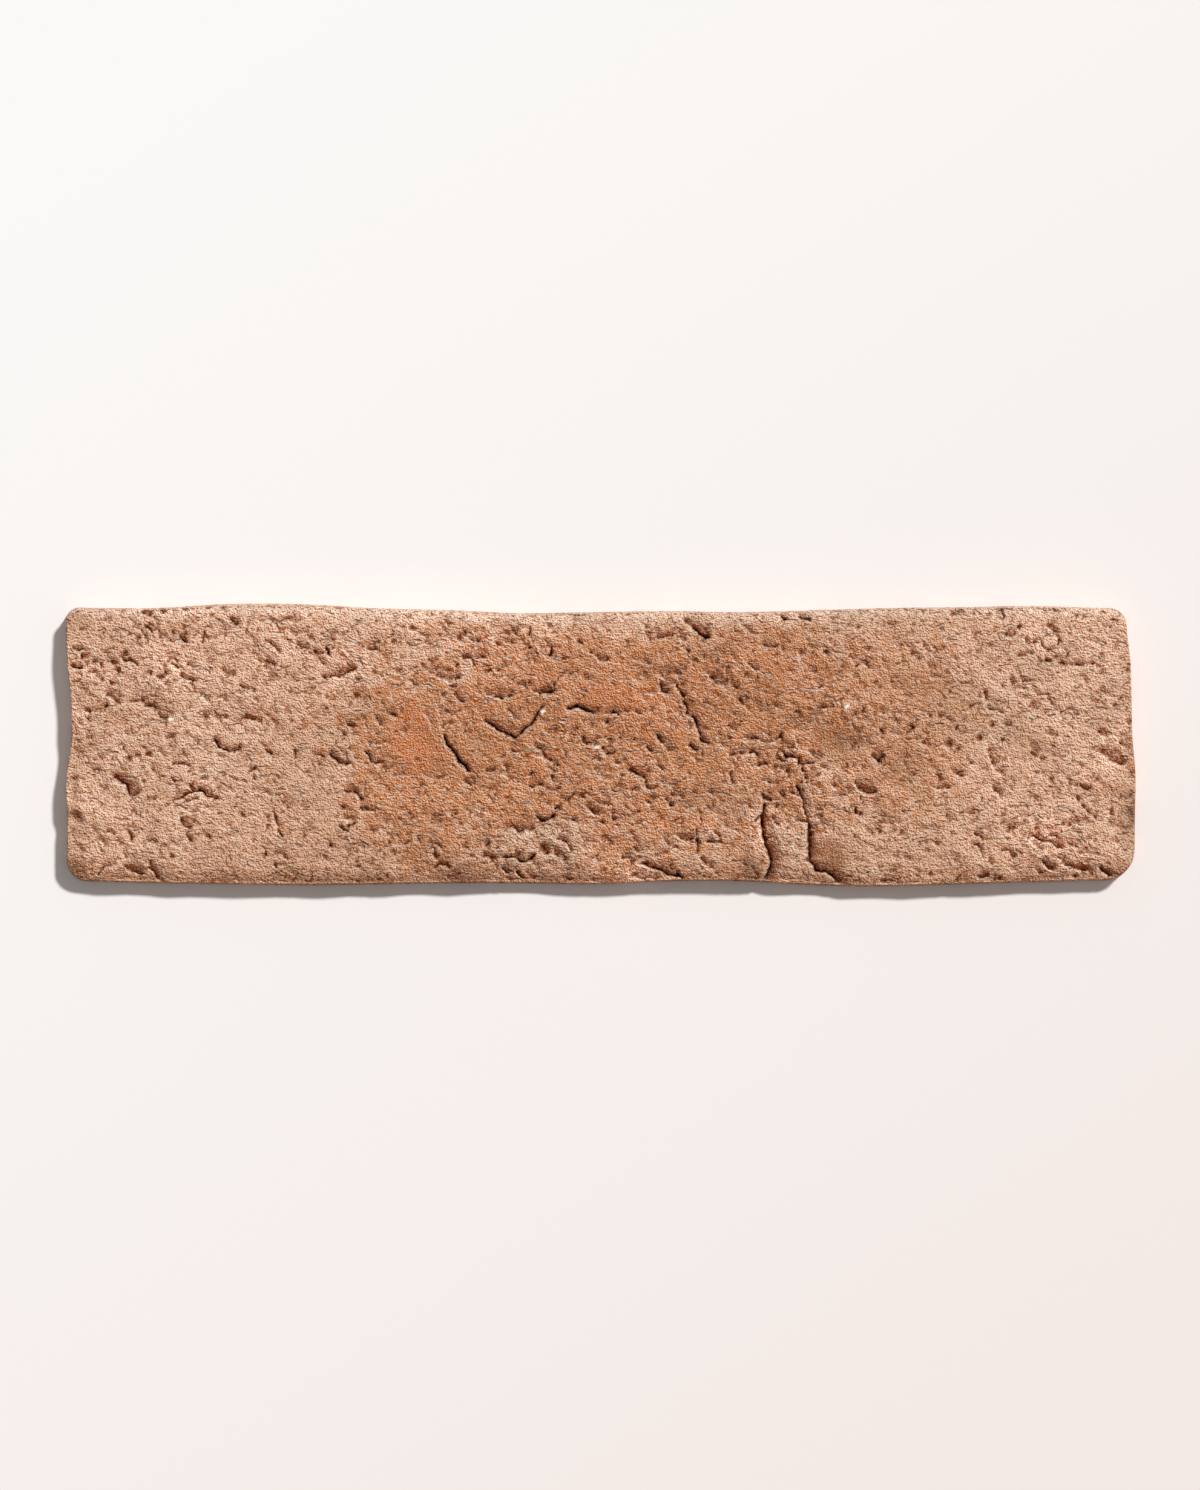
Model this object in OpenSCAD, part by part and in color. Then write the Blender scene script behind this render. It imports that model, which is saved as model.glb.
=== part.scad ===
// Brick-effect porcelain floor tile.
// One dust-pressed and fired piece. Its outline wanders like a hand-moulded brick's,
// its arrises are worn round, its face rolls, falls away to its edges and has cracks,
// folds, clefts and gouges, and its flat back has shallow keys for the adhesive.
// The origin is the middle of the back. +X runs along the length, +Y across, and
// +Z points out of the face. Sides and corners are counted anticlockwise, seen from
// above: front (-Y), right (+X), back (+Y), left (-X).

/* [Tile] */
// Length over the widest points of the outline
tile_length = 280; // [220:1:400]
// Width over the widest points of the outline
tile_width = 74; // [60:1:120]
// Thickness from the back to the highest point of the face
tile_thickness = 9; // [8:0.5:16]

/* [Outline] */
// How far the edges wander in from a straight line
edge_wander = 2.6; // [0:0.1:3.5]
// Corner radius, front left
radius_front_left = 5.5; // [2:0.5:9]
// Corner radius, front right
radius_front_right = 8; // [2:0.5:9]
// Corner radius, back right
radius_back_right = 4.5; // [2:0.5:9]
// Corner radius, back left
radius_back_left = 3.5; // [2:0.5:9]

/* [Edge section] */
// Bevel round the foot, at the back's edge
foot_bevel = 0.6; // [0.2:0.1:1.5]
// How far the side walls lean in, from the foot to the arris
wall_draft = 0.5; // [0:0.1:1.5]
// How far the arris is worn in where it is most worn
arris_reach = 6; // [1.5:0.1:7]
// How far the arris is worn down where it is most worn
arris_drop = 3; // [1:0.1:3.5]

/* [Face] */
// Height of the face's slow waves
face_wave = 0.9; // [0:0.1:1.5]
// Height of the face's short rolls
face_roll = 1.9; // [0:0.1:2.2]
// How far the face falls away towards each edge
edge_fall = 0.8; // [0:0.1:1.2]
// How far in from each edge it starts to fall
edge_fall_reach = 10; // [6:0.5:16]
// Depth of the deepest cleft
cleft_depth = 3.2; // [0.5:0.1:4]
// Depth of the deepest gouge
gouge_depth = 2.4; // [0.5:0.1:3]

/* [Back] */
// Depth of the keys
key_depth = 0.8; // [0.3:0.1:1.5]
// Width of the ribs between the keys
rib_width = 3; // [1.5:0.5:4]
// Width of the plain rim round the keys
rim_width = 8; // [7.5:0.5:10]
// Number of keys along the tile
key_columns = 12; // [6:1:18]
// Number of keys across the tile
key_rows = 3; // [2:1:4]

/* [Hidden] */

// Colour of the fired clay
CLAY = "#BC8A6C";

// How far in each side's edge stands at equal steps, as shares of edge_wander.
WANDER = [
    [0.5, 0.3, 0.2, 0.1, 0.2, 0.3, 0.3, 0.2, 0.5, 0.5, 0.1, 0, 0.2, 0.4, 0.6],
    [0.1, 0.05, 0, 0.3, 0.4, 0.5, 0.9],
    [0.5, 0.3, 0.4, 0.5, 0.7, 0.9, 0.8, 0.9, 1, 0.7, 0.5, 0.1, 0.1, 0.5, 0.45],
    [0, 0.1, 0.5, 0.5, 0, 0.1, 0.1]
];

// How worn each side's arris is at equal steps, as shares of arris_reach and arris_drop.
WEAR = [
    [0.8, 0.75, 0.8, 0.85, 1, 0.9, 0.8, 0.9, 0.85, 0.8, 0.75],
    [0.7, 0.9, 0.8, 0.5, 0.5],
    [0.55, 0.6, 0.65, 0.6, 0.65, 0.75, 0.65, 0.7, 0.75, 0.6, 0.6],
    [0.5, 0.5, 0.6, 0.75, 0.7]
];

CORNER_RADIUS = [radius_front_left, radius_front_right, radius_back_right, radius_back_left];
LEAST_RADIUS = 0.5; // what an inset corner keeps

// Steps along a long side, a short side and half a corner
LONG_STEPS = 94;
SHORT_STEPS = 22;
CORNER_STEPS = 3;
ARRIS_STEPS = 4;
ALONG = LONG_STEPS + 2 * CORNER_STEPS;
ACROSS = SHORT_STEPS + 2 * CORNER_STEPS;
ROUND = 2 * (ALONG + ACROSS);

// The face's slow waves: [wavelength, heading, share of face_wave, phase]
FACE_WAVES = [[88, 15, 0.4, 40], [47, 115, 0.25, 190], [31, 60, 0.2, 75], [22, 155, 0.15, 10]];
// Its short rolls, where the clay was pressed by hand: the same, as shares of face_roll
FACE_ROLLS = [[19, 75, 0.2, 130], [16, 25, 0.17, 310], [14, 115, 0.17, 20], [12.5, 50, 0.17, 230],
              [11, 85, 0.14, 160], [13.5, 155, 0.15, 80]];

// Worn hollows in the face: [along, across, radius, depth]. Places are shares of the
// half length and half width, here, in CRACKS and in GOUGES.
HOLLOWS = [[-0.93, -0.78, 7, 0.6], [-0.14, -0.9, 9, 0.9], [0.42, -0.92, 7, 0.8],
           [0.97, -0.55, 6, 0.8], [-0.99, -0.1, 6, 0.6], [0.16, 0.05, 11, 0.4]];

// Cracks, folds and clefts: [opening on the left, the points of its line]. Left is as seen
// going along the line. An opening is for each mm of depth, so a wide one is ground that
// sinks softly to the line. On the right each opens by STEEP_OPENING. A point is
// [along, across, depth], and its depth is a share of cleft_depth.
CRACKS = [
    // near the middle
    [0.7, [[-0.293, 0.081, 0], [-0.284, 0, 0.34], [-0.264, -0.114, 0.42], [-0.251, -0.143, 0.34],
                [-0.243, -0.192, 0]]],
    [0.7, [[-0.221, 0.141, 0], [-0.204, 0.135, 0.42], [-0.179, 0.078, 0.53],
                [-0.161, 0.051, 0.53], [-0.141, 0.119, 0.53], [-0.123, 0.189, 0.42],
                [-0.101, 0.281, 0]]],
    [0.7, [[-0.064, 0.259, 0], [-0.05, 0.273, 0.42], [-0.025, 0.238, 0.52], [-0.001, 0.222, 0.52],
                [0.018, 0.222, 0.52], [0.038, 0.214, 0.42], [0.089, 0.241, 0]]],
    [0.8, [[0.141, 0.427, 0], [0.153, 0.341, 0.36], [0.16, 0.241, 0.45], [0.176, 0.176, 0.45],
                [0.185, 0.07, 0.36], [0.204, 0.005, 0]]],
    [0.9, [[-0.22, 0.346, 0], [-0.191, 0.343, 0.5], [-0.186, 0.322, 0.5], [-0.161, 0.349, 0]]],
    [0.8, [[-0.118, 0.357, 0], [-0.103, 0.376, 0.64], [-0.086, 0.368, 0]]],
    [0.9, [[-0.311, 0.5, 0], [-0.286, 0.457, 0.56], [-0.261, 0.47, 0]]],
    [1, [[-0.127, 0, 0], [-0.107, -0.073, 0.47], [-0.089, -0.143, 0]]],
    [0.8, [[0.053, -0.178, 0], [0.071, -0.216, 0.56], [0.084, -0.243, 0]]],
    [0.9, [[0.201, 0.486, 0], [0.216, 0.443, 0.55], [0.236, 0.416, 0]]],
    [0.9, [[0.261, 0.065, 0], [0.286, 0.046, 0.42], [0.321, 0.027, 0.42], [0.339, 0.103, 0]]],
    [0.8, [[0.332, -0.022, 0], [0.35, -0.084, 0.42], [0.369, -0.114, 0.42], [0.404, -0.114, 0]]],
    [0.8, [[0.152, 0.892, 0], [0.168, 0.838, 0.62], [0.186, 0.776, 0.62], [0.204, 0.757, 0]]],
    [1, [[0.401, 0.257, 0], [0.418, 0.257, 0.38], [0.434, 0.265, 0]]],
    [1, [[0.472, 0.549, 0], [0.482, 0.576, 0.34], [0.504, 0.538, 0]]],
    [0.9, [[0.366, 0.905, 0], [0.379, 0.881, 0.44], [0.393, 0.878, 0]]],
    // the two clefts at the front edge
    [0.6, [[0.31, -0.405, 0], [0.302, -0.459, 0.78], [0.3, -0.554, 0.97], [0.306, -0.703, 0.97],
                [0.316, -0.811, 0.97], [0.311, -0.892, 1], [0.302, -0.973, 1.2],
                [0.298, -1.03, 1.4]]],
    [1, [[0.361, -0.259, 0], [0.376, -0.378, 0.36], [0.381, -0.486, 0.36], [0.386, -0.557, 0]]],
    [0.6, [[0.386, -0.527, 0], [0.388, -0.608, 0.8], [0.388, -0.757, 1], [0.4, -0.865, 1],
                [0.426, -0.916, 0.8], [0.443, -0.968, 0]]],
    // along the front edge
    [0.9, [[-0.186, -0.632, 0], [-0.164, -0.589, 0.44], [-0.143, -0.6, 0.44],
                [-0.119, -0.581, 0]]],
    [0.8, [[-0.187, -0.781, 0], [-0.161, -0.789, 0.45], [-0.146, -0.83, 0.45],
                [-0.121, -0.77, 0]]],
    [0.8, [[-0.121, -0.497, 0], [-0.11, -0.535, 0.47], [-0.086, -0.486, 0]]],
    [0.9, [[-0.03, -0.427, 0], [-0.016, -0.47, 0.55], [-0.004, -0.495, 0]]],
    [0.8, [[0.071, -0.843, 0], [0.089, -0.854, 0.5], [0.114, -0.886, 0.5], [0.146, -0.924, 0]]],
    [1, [[0.7, -0.93, 0], [0.712, -0.935, 0.42], [0.724, -0.93, 0]]],
    // the left end
    [0.9, [[-0.806, -0.432, 0], [-0.786, -0.378, 0.29], [-0.757, -0.332, 0.36],
                [-0.739, -0.327, 0.36], [-0.726, -0.368, 0.29], [-0.706, -0.386, 0]]],
    [0.8, [[-0.911, -0.214, 0], [-0.889, -0.27, 0.58], [-0.876, -0.37, 0.58],
                [-0.856, -0.327, 0]]],
    [0.3, [[-0.611, -0.432, 0], [-0.606, -0.519, 0.16], [-0.6, -0.603, 0.16],
                [-0.586, -0.676, 0]]],
    [0.9, [[-0.51, -0.057, 0], [-0.493, -0.097, 0.48], [-0.479, -0.138, 0.48],
                [-0.466, -0.135, 0]]],
    [0.9, [[-0.478, -0.324, 0], [-0.461, -0.33, 0.44], [-0.446, -0.4, 0]]],
    [0.8, [[-0.784, -0.522, 0], [-0.774, -0.581, 0.58], [-0.763, -0.597, 0]]],
    [1, [[-0.889, -0.849, 0], [-0.869, -0.9, 0.47], [-0.849, -0.908, 0]]],
    [1, [[-0.926, 0.357, 0], [-0.909, 0.332, 0.45], [-0.896, 0.292, 0]]],
    [1, [[-0.855, 0.286, 0], [-0.829, 0.265, 0.34], [-0.804, 0.192, 0]]],
    [0.9, [[-0.785, 0.773, 0], [-0.776, 0.724, 0.56], [-0.763, 0.727, 0]]],
    [1, [[-0.722, 0.057, 0], [-0.705, -0.032, 0.36], [-0.664, -0.019, 0]]],
    [0.9, [[-0.522, 0.484, 0], [-0.489, 0.478, 0.48], [-0.456, 0.538, 0]]],
    [1, [[-0.617, 0.905, 0], [-0.6, 0.857, 0.47], [-0.582, 0.892, 0.47], [-0.563, 0.857, 0]]],
    // the right end
    [0.9, [[0.472, -0.259, 0], [0.493, -0.33, 0.56], [0.516, -0.324, 0]]],
    [0.9, [[0.501, -0.065, 0], [0.518, -0.119, 0.53], [0.529, -0.073, 0]]],
    [0.9, [[0.791, -0.673, 0], [0.807, -0.646, 0.5], [0.836, -0.681, 0.5], [0.863, -0.735, 0]]],
    [0.9, [[0.821, -0.805, 0], [0.831, -0.857, 0.5], [0.844, -0.895, 0]]],
    [0.9, [[0.856, -0.83, 0], [0.882, -0.865, 0.48], [0.907, -0.886, 0]]],
    [1, [[0.894, -0.416, 0], [0.909, -0.47, 0.33], [0.924, -0.53, 0]]],
    [0.9, [[0.927, -0.038, 0], [0.95, -0.108, 0.62], [0.981, -0.119, 0]]]
];
STEEP_OPENING = 0.3;
CUT_ABOVE = 1; // how far every crack's and gouge's cutter stands above the face
CRACK_END = 0.3; // where a crack runs out, its cutter's tip is this far above the face

// Gouges where bits of clay came away: [along, across, half length, half width, heading,
// share of gouge_depth]. Depths are below the face, so those in the worn arris need most.
GOUGES = [
    [-0.164, 0.098, 2.4, 1.3, -10, 0.4], [-0.101, 0.384, 2, 0.9, 0, 0.4],
    [-0.466, -0.303, 2.2, 1.2, -25, 0.5], [0.224, 0.648, 1.7, 1, -25, 0.4],
    [0.22, 0.459, 2.6, 1.2, -30, 0.35], [0.124, 0.519, 3, 1, -5, 0.3],
    [0.07, -0.197, 2.4, 1, -20, 0.3], [-0.079, -0.432, 1.2, 0.6, 40, 0.45],
    [-0.764, -0.557, 1.8, 1.7, 0, 0.35], [-0.186, -0.703, 1.7, 0.8, -15, 0.45],
    [0.194, -0.708, 2, 1.5, 20, 0.4], [0.807, -0.043, 1.6, 1.7, 0, 0.35],
    [0.986, -0.514, 1.7, 3.2, 10, 1], [0.992, -0.243, 1.5, 1, -20, 0.9],
    [-0.982, -0.519, 2.2, 1.6, 0, 1], [0.664, -0.97, 1, 0.8, 0, 1], [0.659, 0.927, 1.3, 0.9, 20, 0.6]
];
GOUGE_SIDES = 9;
// A gouge's section: [share of its width, height], where heights below 0 are shares of its
// depth and the height above 0 is a share of CUT_ABOVE.
GOUGE_LEVELS = [[1.2, 1], [1, 0], [0.75, -0.7], [0.35, -1]];

// ---- Lists and curves ----

function last(list) = list[len(list) - 1];

function knot(list, i) = list[min(max(i, 0), len(list) - 1)];

function total(list) = list * [for (item = list) 1];

// A smooth curve through equally spaced knots, at a share of the list's length
function smooth_at(list, share) =
    let (at = share * (len(list) - 1), i = min(floor(at), len(list) - 2), f = at - i,
         a = knot(list, i - 1), b = knot(list, i), c = knot(list, i + 1), d = knot(list, i + 2))
    b + 0.5 * f * (c - a + f * (2 * a - 5 * b + 4 * c - d + f * (3 * (b - c) + d - a)));

function mix(a, b, share) = a + (b - a) * share;

// ---- Outline ----

function side_of(s) = (s + 4) % 4;
function half_along(s) = (s % 2 == 0 ? tile_length : tile_width) / 2;
function half_out(s) = (s % 2 == 0 ? tile_width : tile_length) / 2;
function steps_of(s) = s % 2 == 0 ? LONG_STEPS : SHORT_STEPS;

// A point given along a side and out from the tile's middle
function from_side(s, along, out) =
    along * [cos(90 * s), sin(90 * s)] + out * [sin(90 * s), -cos(90 * s)];

// The edge's distance in from a straight line. Its least value is 0, so the widest
// points of the outline are tile_length and tile_width apart.
LEAST_WANDER = [for (s = [0:3])
    min([for (i = [0:steps_of(s)]) smooth_at(WANDER[s], i / steps_of(s))])];
function wander(s, share) =
    edge_wander * (smooth_at(WANDER[side_of(s)], share) - LEAST_WANDER[side_of(s)]);

function corner_radius(c, inset) = max(CORNER_RADIUS[c % 4], inset + LEAST_RADIUS);

// Where corner c's centre is, along and out from side c
function corner_place(c, inset) = [
    corner_radius(c, inset) + wander(c - 1, 1) - half_along(c),
    half_out(c) - wander(c, 0) - corner_radius(c, inset)
];

function corner_point(c, angle, inset) =
    let (place = corner_place(c, inset))
    from_side(c, place.x, place.y) + (corner_radius(c, inset) - inset) * [cos(angle), sin(angle)];

function straight_point(s, share, inset) =
    let (first = corner_place(s, inset).x, last = corner_place(side_of(s + 1), inset).y)
    from_side(s, mix(first, last, share), half_out(s) - wander(s, share) - inset);

// The outline's point i on side s, counted from the middle of the side's first corner
function outline_point(s, i, inset) =
    let (past = i - CORNER_STEPS - steps_of(s))
    i < CORNER_STEPS ? corner_point(s, 90 * s - 135 + 45 * i / CORNER_STEPS, inset)
    : past > 0 ? corner_point(side_of(s + 1), 90 * s - 90 + 45 * past / CORNER_STEPS, inset)
    : straight_point(s, (i - CORNER_STEPS) / steps_of(s), inset);

// The arris's wear at that point. Each corner passes from one side's wear to the next.
function wear(s, i) =
    let (before = last(WEAR[side_of(s - 1)]), after = WEAR[side_of(s + 1)][0],
         own = smooth_at(WEAR[s], min(max((i - CORNER_STEPS) / steps_of(s), 0), 1)),
         past = i - CORNER_STEPS - steps_of(s))
    i < CORNER_STEPS ? mix((before + own) / 2, own, i / CORNER_STEPS)
    : past > 0 ? mix(own, (own + after) / 2, past / CORNER_STEPS)
    : own;

// ---- Face ----

// A place given as shares of the half length and half width
function place(shares) = [shares.x * tile_length / 2, shares.y * tile_width / 2];

function wave_depth(p, wave) =
    wave[2] * (1 + sin(360 * (p.x * cos(wave[1]) + p.y * sin(wave[1])) / wave[0] + wave[3])) / 2;

function waves_depth(p, waves) = total([for (wave = waves) wave_depth(p, wave)]);

function hollow_depth(p, hollow) =
    let (away = norm([p.x, p.y] - place(hollow)) / hollow[2])
    hollow[3] * exp(-away * away);

// How near a place is to a straight edge, from 0 at edge_fall_reach to 1 at the edge
function nearness(at, half_size) =
    max(0, 1 - (half_size - abs(at)) / edge_fall_reach);

function edge_depth(p) =
    edge_fall * (nearness(p.x, tile_length / 2) ^ 2 + nearness(p.y, tile_width / 2) ^ 2);

function face_depth(p) =
    face_wave * waves_depth(p, FACE_WAVES) + face_roll * waves_depth(p, FACE_ROLLS)
    + edge_depth(p) + total([for (hollow = HOLLOWS) hollow_depth(p, hollow)]);

// ---- Rings round the edge, from the foot to the face ----

// A ring is a list of points, each with its own inset and height.
function flat_ring(inset, z) = [for (s = [0:3]) for (i = [0:steps_of(s) + 2 * CORNER_STEPS - 1])
    let (p = outline_point(s, i, inset)) [p.x, p.y, z]];

// The arris is a quarter ellipse whose reach and drop follow its wear.
function arris_ring(turn) = [for (s = [0:3]) for (i = [0:steps_of(s) + 2 * CORNER_STEPS - 1])
    let (worn = wear(s, i), inset = wall_draft + arris_reach * worn * (1 - cos(turn)),
         p = outline_point(s, i, inset))
    [p.x, p.y, face_height(p) - arris_drop * worn * (1 - sin(turn))]];

// ---- The face's grid, a Coons patch inside its outline ----

// Where the rim's point beside column i and row j stands in a ring
function ring_index(i, j) =
    j == 0 ? i : i == ALONG ? ALONG + j : j == ACROSS ? 2 * ALONG + ACROSS - i : ROUND - j;

function patch_point(rim, i, j) =
    let (u = i / ALONG, v = j / ACROSS)
    mix(rim[ring_index(i, 0)], rim[ring_index(i, ACROSS)], v)
    + mix(rim[ring_index(0, j)], rim[ring_index(ALONG, j)], u)
    - mix(mix(rim[0], rim[ALONG], u),
          mix(rim[ring_index(0, ACROSS)], rim[ring_index(ALONG, ACROSS)], u), v);

FACE_RIM = [for (s = [0:3]) for (i = [0:steps_of(s) + 2 * CORNER_STEPS - 1])
    outline_point(s, i, wall_draft + arris_reach * wear(s, i))];
FACE_GRID = [for (i = [1:ALONG - 1]) for (j = [1:ACROSS - 1]) patch_point(FACE_RIM, i, j)];
LEAST_DEPTH = min([for (p = concat(FACE_RIM, FACE_GRID)) face_depth(p)]);
function face_height(p) = tile_thickness + LEAST_DEPTH - face_depth(p);

// ---- The pressed body ----

module pressed_body() {
    rings = concat([flat_ring(foot_bevel, 0), flat_ring(0, foot_bevel)],
                   [for (k = [0:ARRIS_STEPS]) arris_ring(90 * k / ARRIS_STEPS)]);
    last_ring = (len(rings) - 1) * ROUND;
    grid_start = len(rings) * ROUND;
    spine_start = grid_start + len(FACE_GRID);
    // The back closes on a spine down its middle, which stops short of both ends.
    hip = CORNER_STEPS + 2;
    spine = [for (i = [hip:ALONG - hip])
        let (p = (rings[0][i] + rings[0][ring_index(i, ACROSS)]) / 2) [p.x, p.y, 0]];

    function top_index(i, j) =
        i == 0 || j == 0 || i == ALONG || j == ACROSS ? last_ring + ring_index(i, j)
        : grid_start + (i - 1) * (ACROSS - 1) + j - 1;
    function spine_index(i) = spine_start + min(max(i, hip), ALONG - hip) - hip;

    walls = [for (k = [0:len(rings) - 2]) for (i = [0:ROUND - 1])
        let (a = k * ROUND, next = (i + 1) % ROUND)
        each [[a + i, a + ROUND + i, a + next], [a + next, a + ROUND + i, a + ROUND + next]]];
    top = [for (i = [0:ALONG - 1]) for (j = [0:ACROSS - 1])
        each [[top_index(i, j), top_index(i, j + 1), top_index(i + 1, j + 1)],
              [top_index(i, j), top_index(i + 1, j + 1), top_index(i + 1, j)]]];
    front_strip = [for (i = [0:ALONG - 1]) each [[i, i + 1, spine_index(i)],
        if (spine_index(i) != spine_index(i + 1)) [i + 1, spine_index(i + 1), spine_index(i)]]];
    right_fan = [for (j = [0:ACROSS - 1]) [ALONG + j, ALONG + j + 1, spine_index(ALONG)]];
    back_strip = [for (i = [0:ALONG - 1])
        let (a = ring_index(i, ACROSS), b = ring_index(i + 1, ACROSS))
        each [[b, a, spine_index(i)],
              if (spine_index(i) != spine_index(i + 1)) [b, spine_index(i), spine_index(i + 1)]]];
    left_fan = [for (j = [0:ACROSS - 1]) [(ROUND - j) % ROUND, spine_index(0), ROUND - j - 1]];

    polyhedron(points = concat([for (ring = rings) each ring],
                               [for (p = FACE_GRID) [p.x, p.y, face_height(p)]], spine),
               faces = concat(walls, top, front_strip, right_fan, back_strip, left_fan));
}

// ---- Cracks ----

// A V-shaped cutter along a crack's line. Its tip is as deep as the crack.
module crack_cutter(left_opening, line) {
    count = len(line) - 1;
    path = [for (p = line) place(p)];
    points = [for (k = [0:count])
        let (p = path[k], ahead = path[min(k + 1, count)] - path[max(k - 1, 0)],
             left = [-ahead.y, ahead.x] / norm(ahead),
             depth = line[k].z > 0 ? cleft_depth * line[k].z : -CRACK_END,
             rise = depth + CUT_ABOVE, top = face_height(p) + CUT_ABOVE)
        each [[each p + left * left_opening * rise, top],
              [each p, face_height(p) - depth],
              [each p - left * STEEP_OPENING * rise, top]]];
    walls = [for (k = [0:count - 1]) for (side = [0:2])
        let (a = 3 * k + side, b = 3 * k + (side + 1) % 3)
        each [[a, b, a + 3], [b, b + 3, a + 3]]];
    ends = [[2, 1, 0], [3 * count, 3 * count + 1, 3 * count + 2]];
    polyhedron(points = points, faces = concat(walls, ends));
}

// ---- Gouges ----

// A shallow bowl of flat sides, as deep as the gouge
module gouge_cutter(gouge) {
    p = place(gouge);
    heading = gouge[4];
    depth = gouge_depth * gouge[5];
    points = [for (level = GOUGE_LEVELS) for (k = [0:GOUGE_SIDES - 1])
        let (turn = 360 * k / GOUGE_SIDES,
             a = level[0] * gouge[2] * cos(turn), b = level[0] * gouge[3] * sin(turn),
             rise = level[1] * (level[1] > 0 ? CUT_ABOVE : depth))
        [p.x + a * cos(heading) - b * sin(heading), p.y + a * sin(heading) + b * cos(heading),
         face_height(p) + rise]];
    floor_start = (len(GOUGE_LEVELS) - 1) * GOUGE_SIDES;
    walls = [for (level = [0:len(GOUGE_LEVELS) - 2]) for (k = [0:GOUGE_SIDES - 1])
        let (a = level * GOUGE_SIDES + k, b = level * GOUGE_SIDES + (k + 1) % GOUGE_SIDES)
        each [[a, b, a + GOUGE_SIDES], [b, b + GOUGE_SIDES, a + GOUGE_SIDES]]];
    ends = [[for (k = [0:GOUGE_SIDES - 1]) GOUGE_SIDES - 1 - k],
            [for (k = [0:GOUGE_SIDES - 1]) floor_start + k]];
    polyhedron(points = points, faces = concat(walls, ends));
}

// ---- Keys in the back ----

key_length = (tile_length - 2 * rim_width - (key_columns - 1) * rib_width) / key_columns;
key_width = (tile_width - 2 * rim_width - (key_rows - 1) * rib_width) / key_rows;
KEY_BELOW = 0.5; // how far the cutter of a key stands below the back

// One key's cutter. Its walls lean in by as much as they rise, so that the punch lets go.
module key_cutter() {
    corners = [[-1, -1], [1, -1], [1, 1], [-1, 1]];
    points = [for (z = [-KEY_BELOW, key_depth]) for (c = corners)
        [c.x * (key_length / 2 - z), c.y * (key_width / 2 - z), z]];
    polyhedron(points = points, faces = [[0, 1, 2, 3], [7, 6, 5, 4], [0, 4, 5, 1],
                                         [1, 5, 6, 2], [2, 6, 7, 3], [3, 7, 4, 0]]);
}

module key_cutters() {
    for (column = [0:key_columns - 1])
        for (row = [0:key_rows - 1])
            translate([(column - (key_columns - 1) / 2) * (key_length + rib_width),
                       (row - (key_rows - 1) / 2) * (key_width + rib_width), 0])
                key_cutter();
}

// ---- The tile ----

module tile() {
    color(CLAY)
    difference() {
        pressed_body();
        key_cutters();
        for (crack = CRACKS)
            crack_cutter(crack[0], crack[1]);
        for (gouge = GOUGES)
            gouge_cutter(gouge);
    }
}

tile();
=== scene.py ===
# %% [markdown]
# # A brick-effect porcelain floor tile
#
# The real tile is one piece of porcelain stoneware, 280 x 74 x 9 mm. Dry clay powder is
# pressed between two steel punches and fired at about 1200 degrees. The upper punch was
# cast from an old hand-moulded brick, so the face has that brick's folds, cracks and
# sandy skin, and its outline wanders.
#
# The CAD model gives the true size, the outline, the worn arris and the main clefts.
# This script keeps those and adds what is too fine for CAD: the folded, sandy skin.

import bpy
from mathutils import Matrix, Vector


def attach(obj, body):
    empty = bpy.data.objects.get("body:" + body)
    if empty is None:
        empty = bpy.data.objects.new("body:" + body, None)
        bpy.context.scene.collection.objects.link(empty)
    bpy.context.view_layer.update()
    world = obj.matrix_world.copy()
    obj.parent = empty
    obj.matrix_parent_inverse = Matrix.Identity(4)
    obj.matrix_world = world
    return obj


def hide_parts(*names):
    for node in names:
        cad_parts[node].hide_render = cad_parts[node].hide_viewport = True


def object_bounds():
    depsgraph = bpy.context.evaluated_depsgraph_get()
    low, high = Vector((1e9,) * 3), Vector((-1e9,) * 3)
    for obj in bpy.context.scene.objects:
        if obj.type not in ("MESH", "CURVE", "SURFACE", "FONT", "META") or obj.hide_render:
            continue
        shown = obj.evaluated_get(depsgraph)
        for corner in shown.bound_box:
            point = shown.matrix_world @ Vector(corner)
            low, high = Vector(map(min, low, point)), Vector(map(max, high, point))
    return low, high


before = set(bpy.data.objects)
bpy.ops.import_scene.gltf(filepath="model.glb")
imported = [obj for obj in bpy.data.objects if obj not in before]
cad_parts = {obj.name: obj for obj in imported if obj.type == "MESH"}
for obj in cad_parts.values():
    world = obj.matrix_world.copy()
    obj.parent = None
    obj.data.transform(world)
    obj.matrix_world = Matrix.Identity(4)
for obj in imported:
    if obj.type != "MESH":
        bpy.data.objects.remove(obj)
cad_low, cad_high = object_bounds()
print("CAD box in mm:", [round(1000 * (b - a), 2) for a, b in zip(cad_low, cad_high)])

# %% Tools and units
import math
import random

import bmesh
import bpy
import numpy as np
from mathutils import Vector, noise
from mathutils.bvhtree import BVHTree

MM = 0.001
HALF_LENGTH = (cad_high.x - cad_low.x) / 2 / MM
HALF_WIDTH = (cad_high.y - cad_low.y) / 2 / MM
THICKNESS = (cad_high.z - cad_low.z) / MM


def smooth_step(low, high, value):
    """0 below low, 1 above high, and an easy slope between."""
    share = np.clip((value - low) / (high - low), 0, 1)
    return share * share * (3 - 2 * share)


# %% [markdown]
# ## The outline, from the CAD body
#
# A tile could be drawn again from its length and width, but its edge wanders, so the
# CAD body is asked for its own edge instead. A merged copy of its mesh has one ring of
# points at its widest level, just above the foot. A smooth curve goes through them,
# and is cut into equal steps. The four corners divide it into sides.

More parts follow.
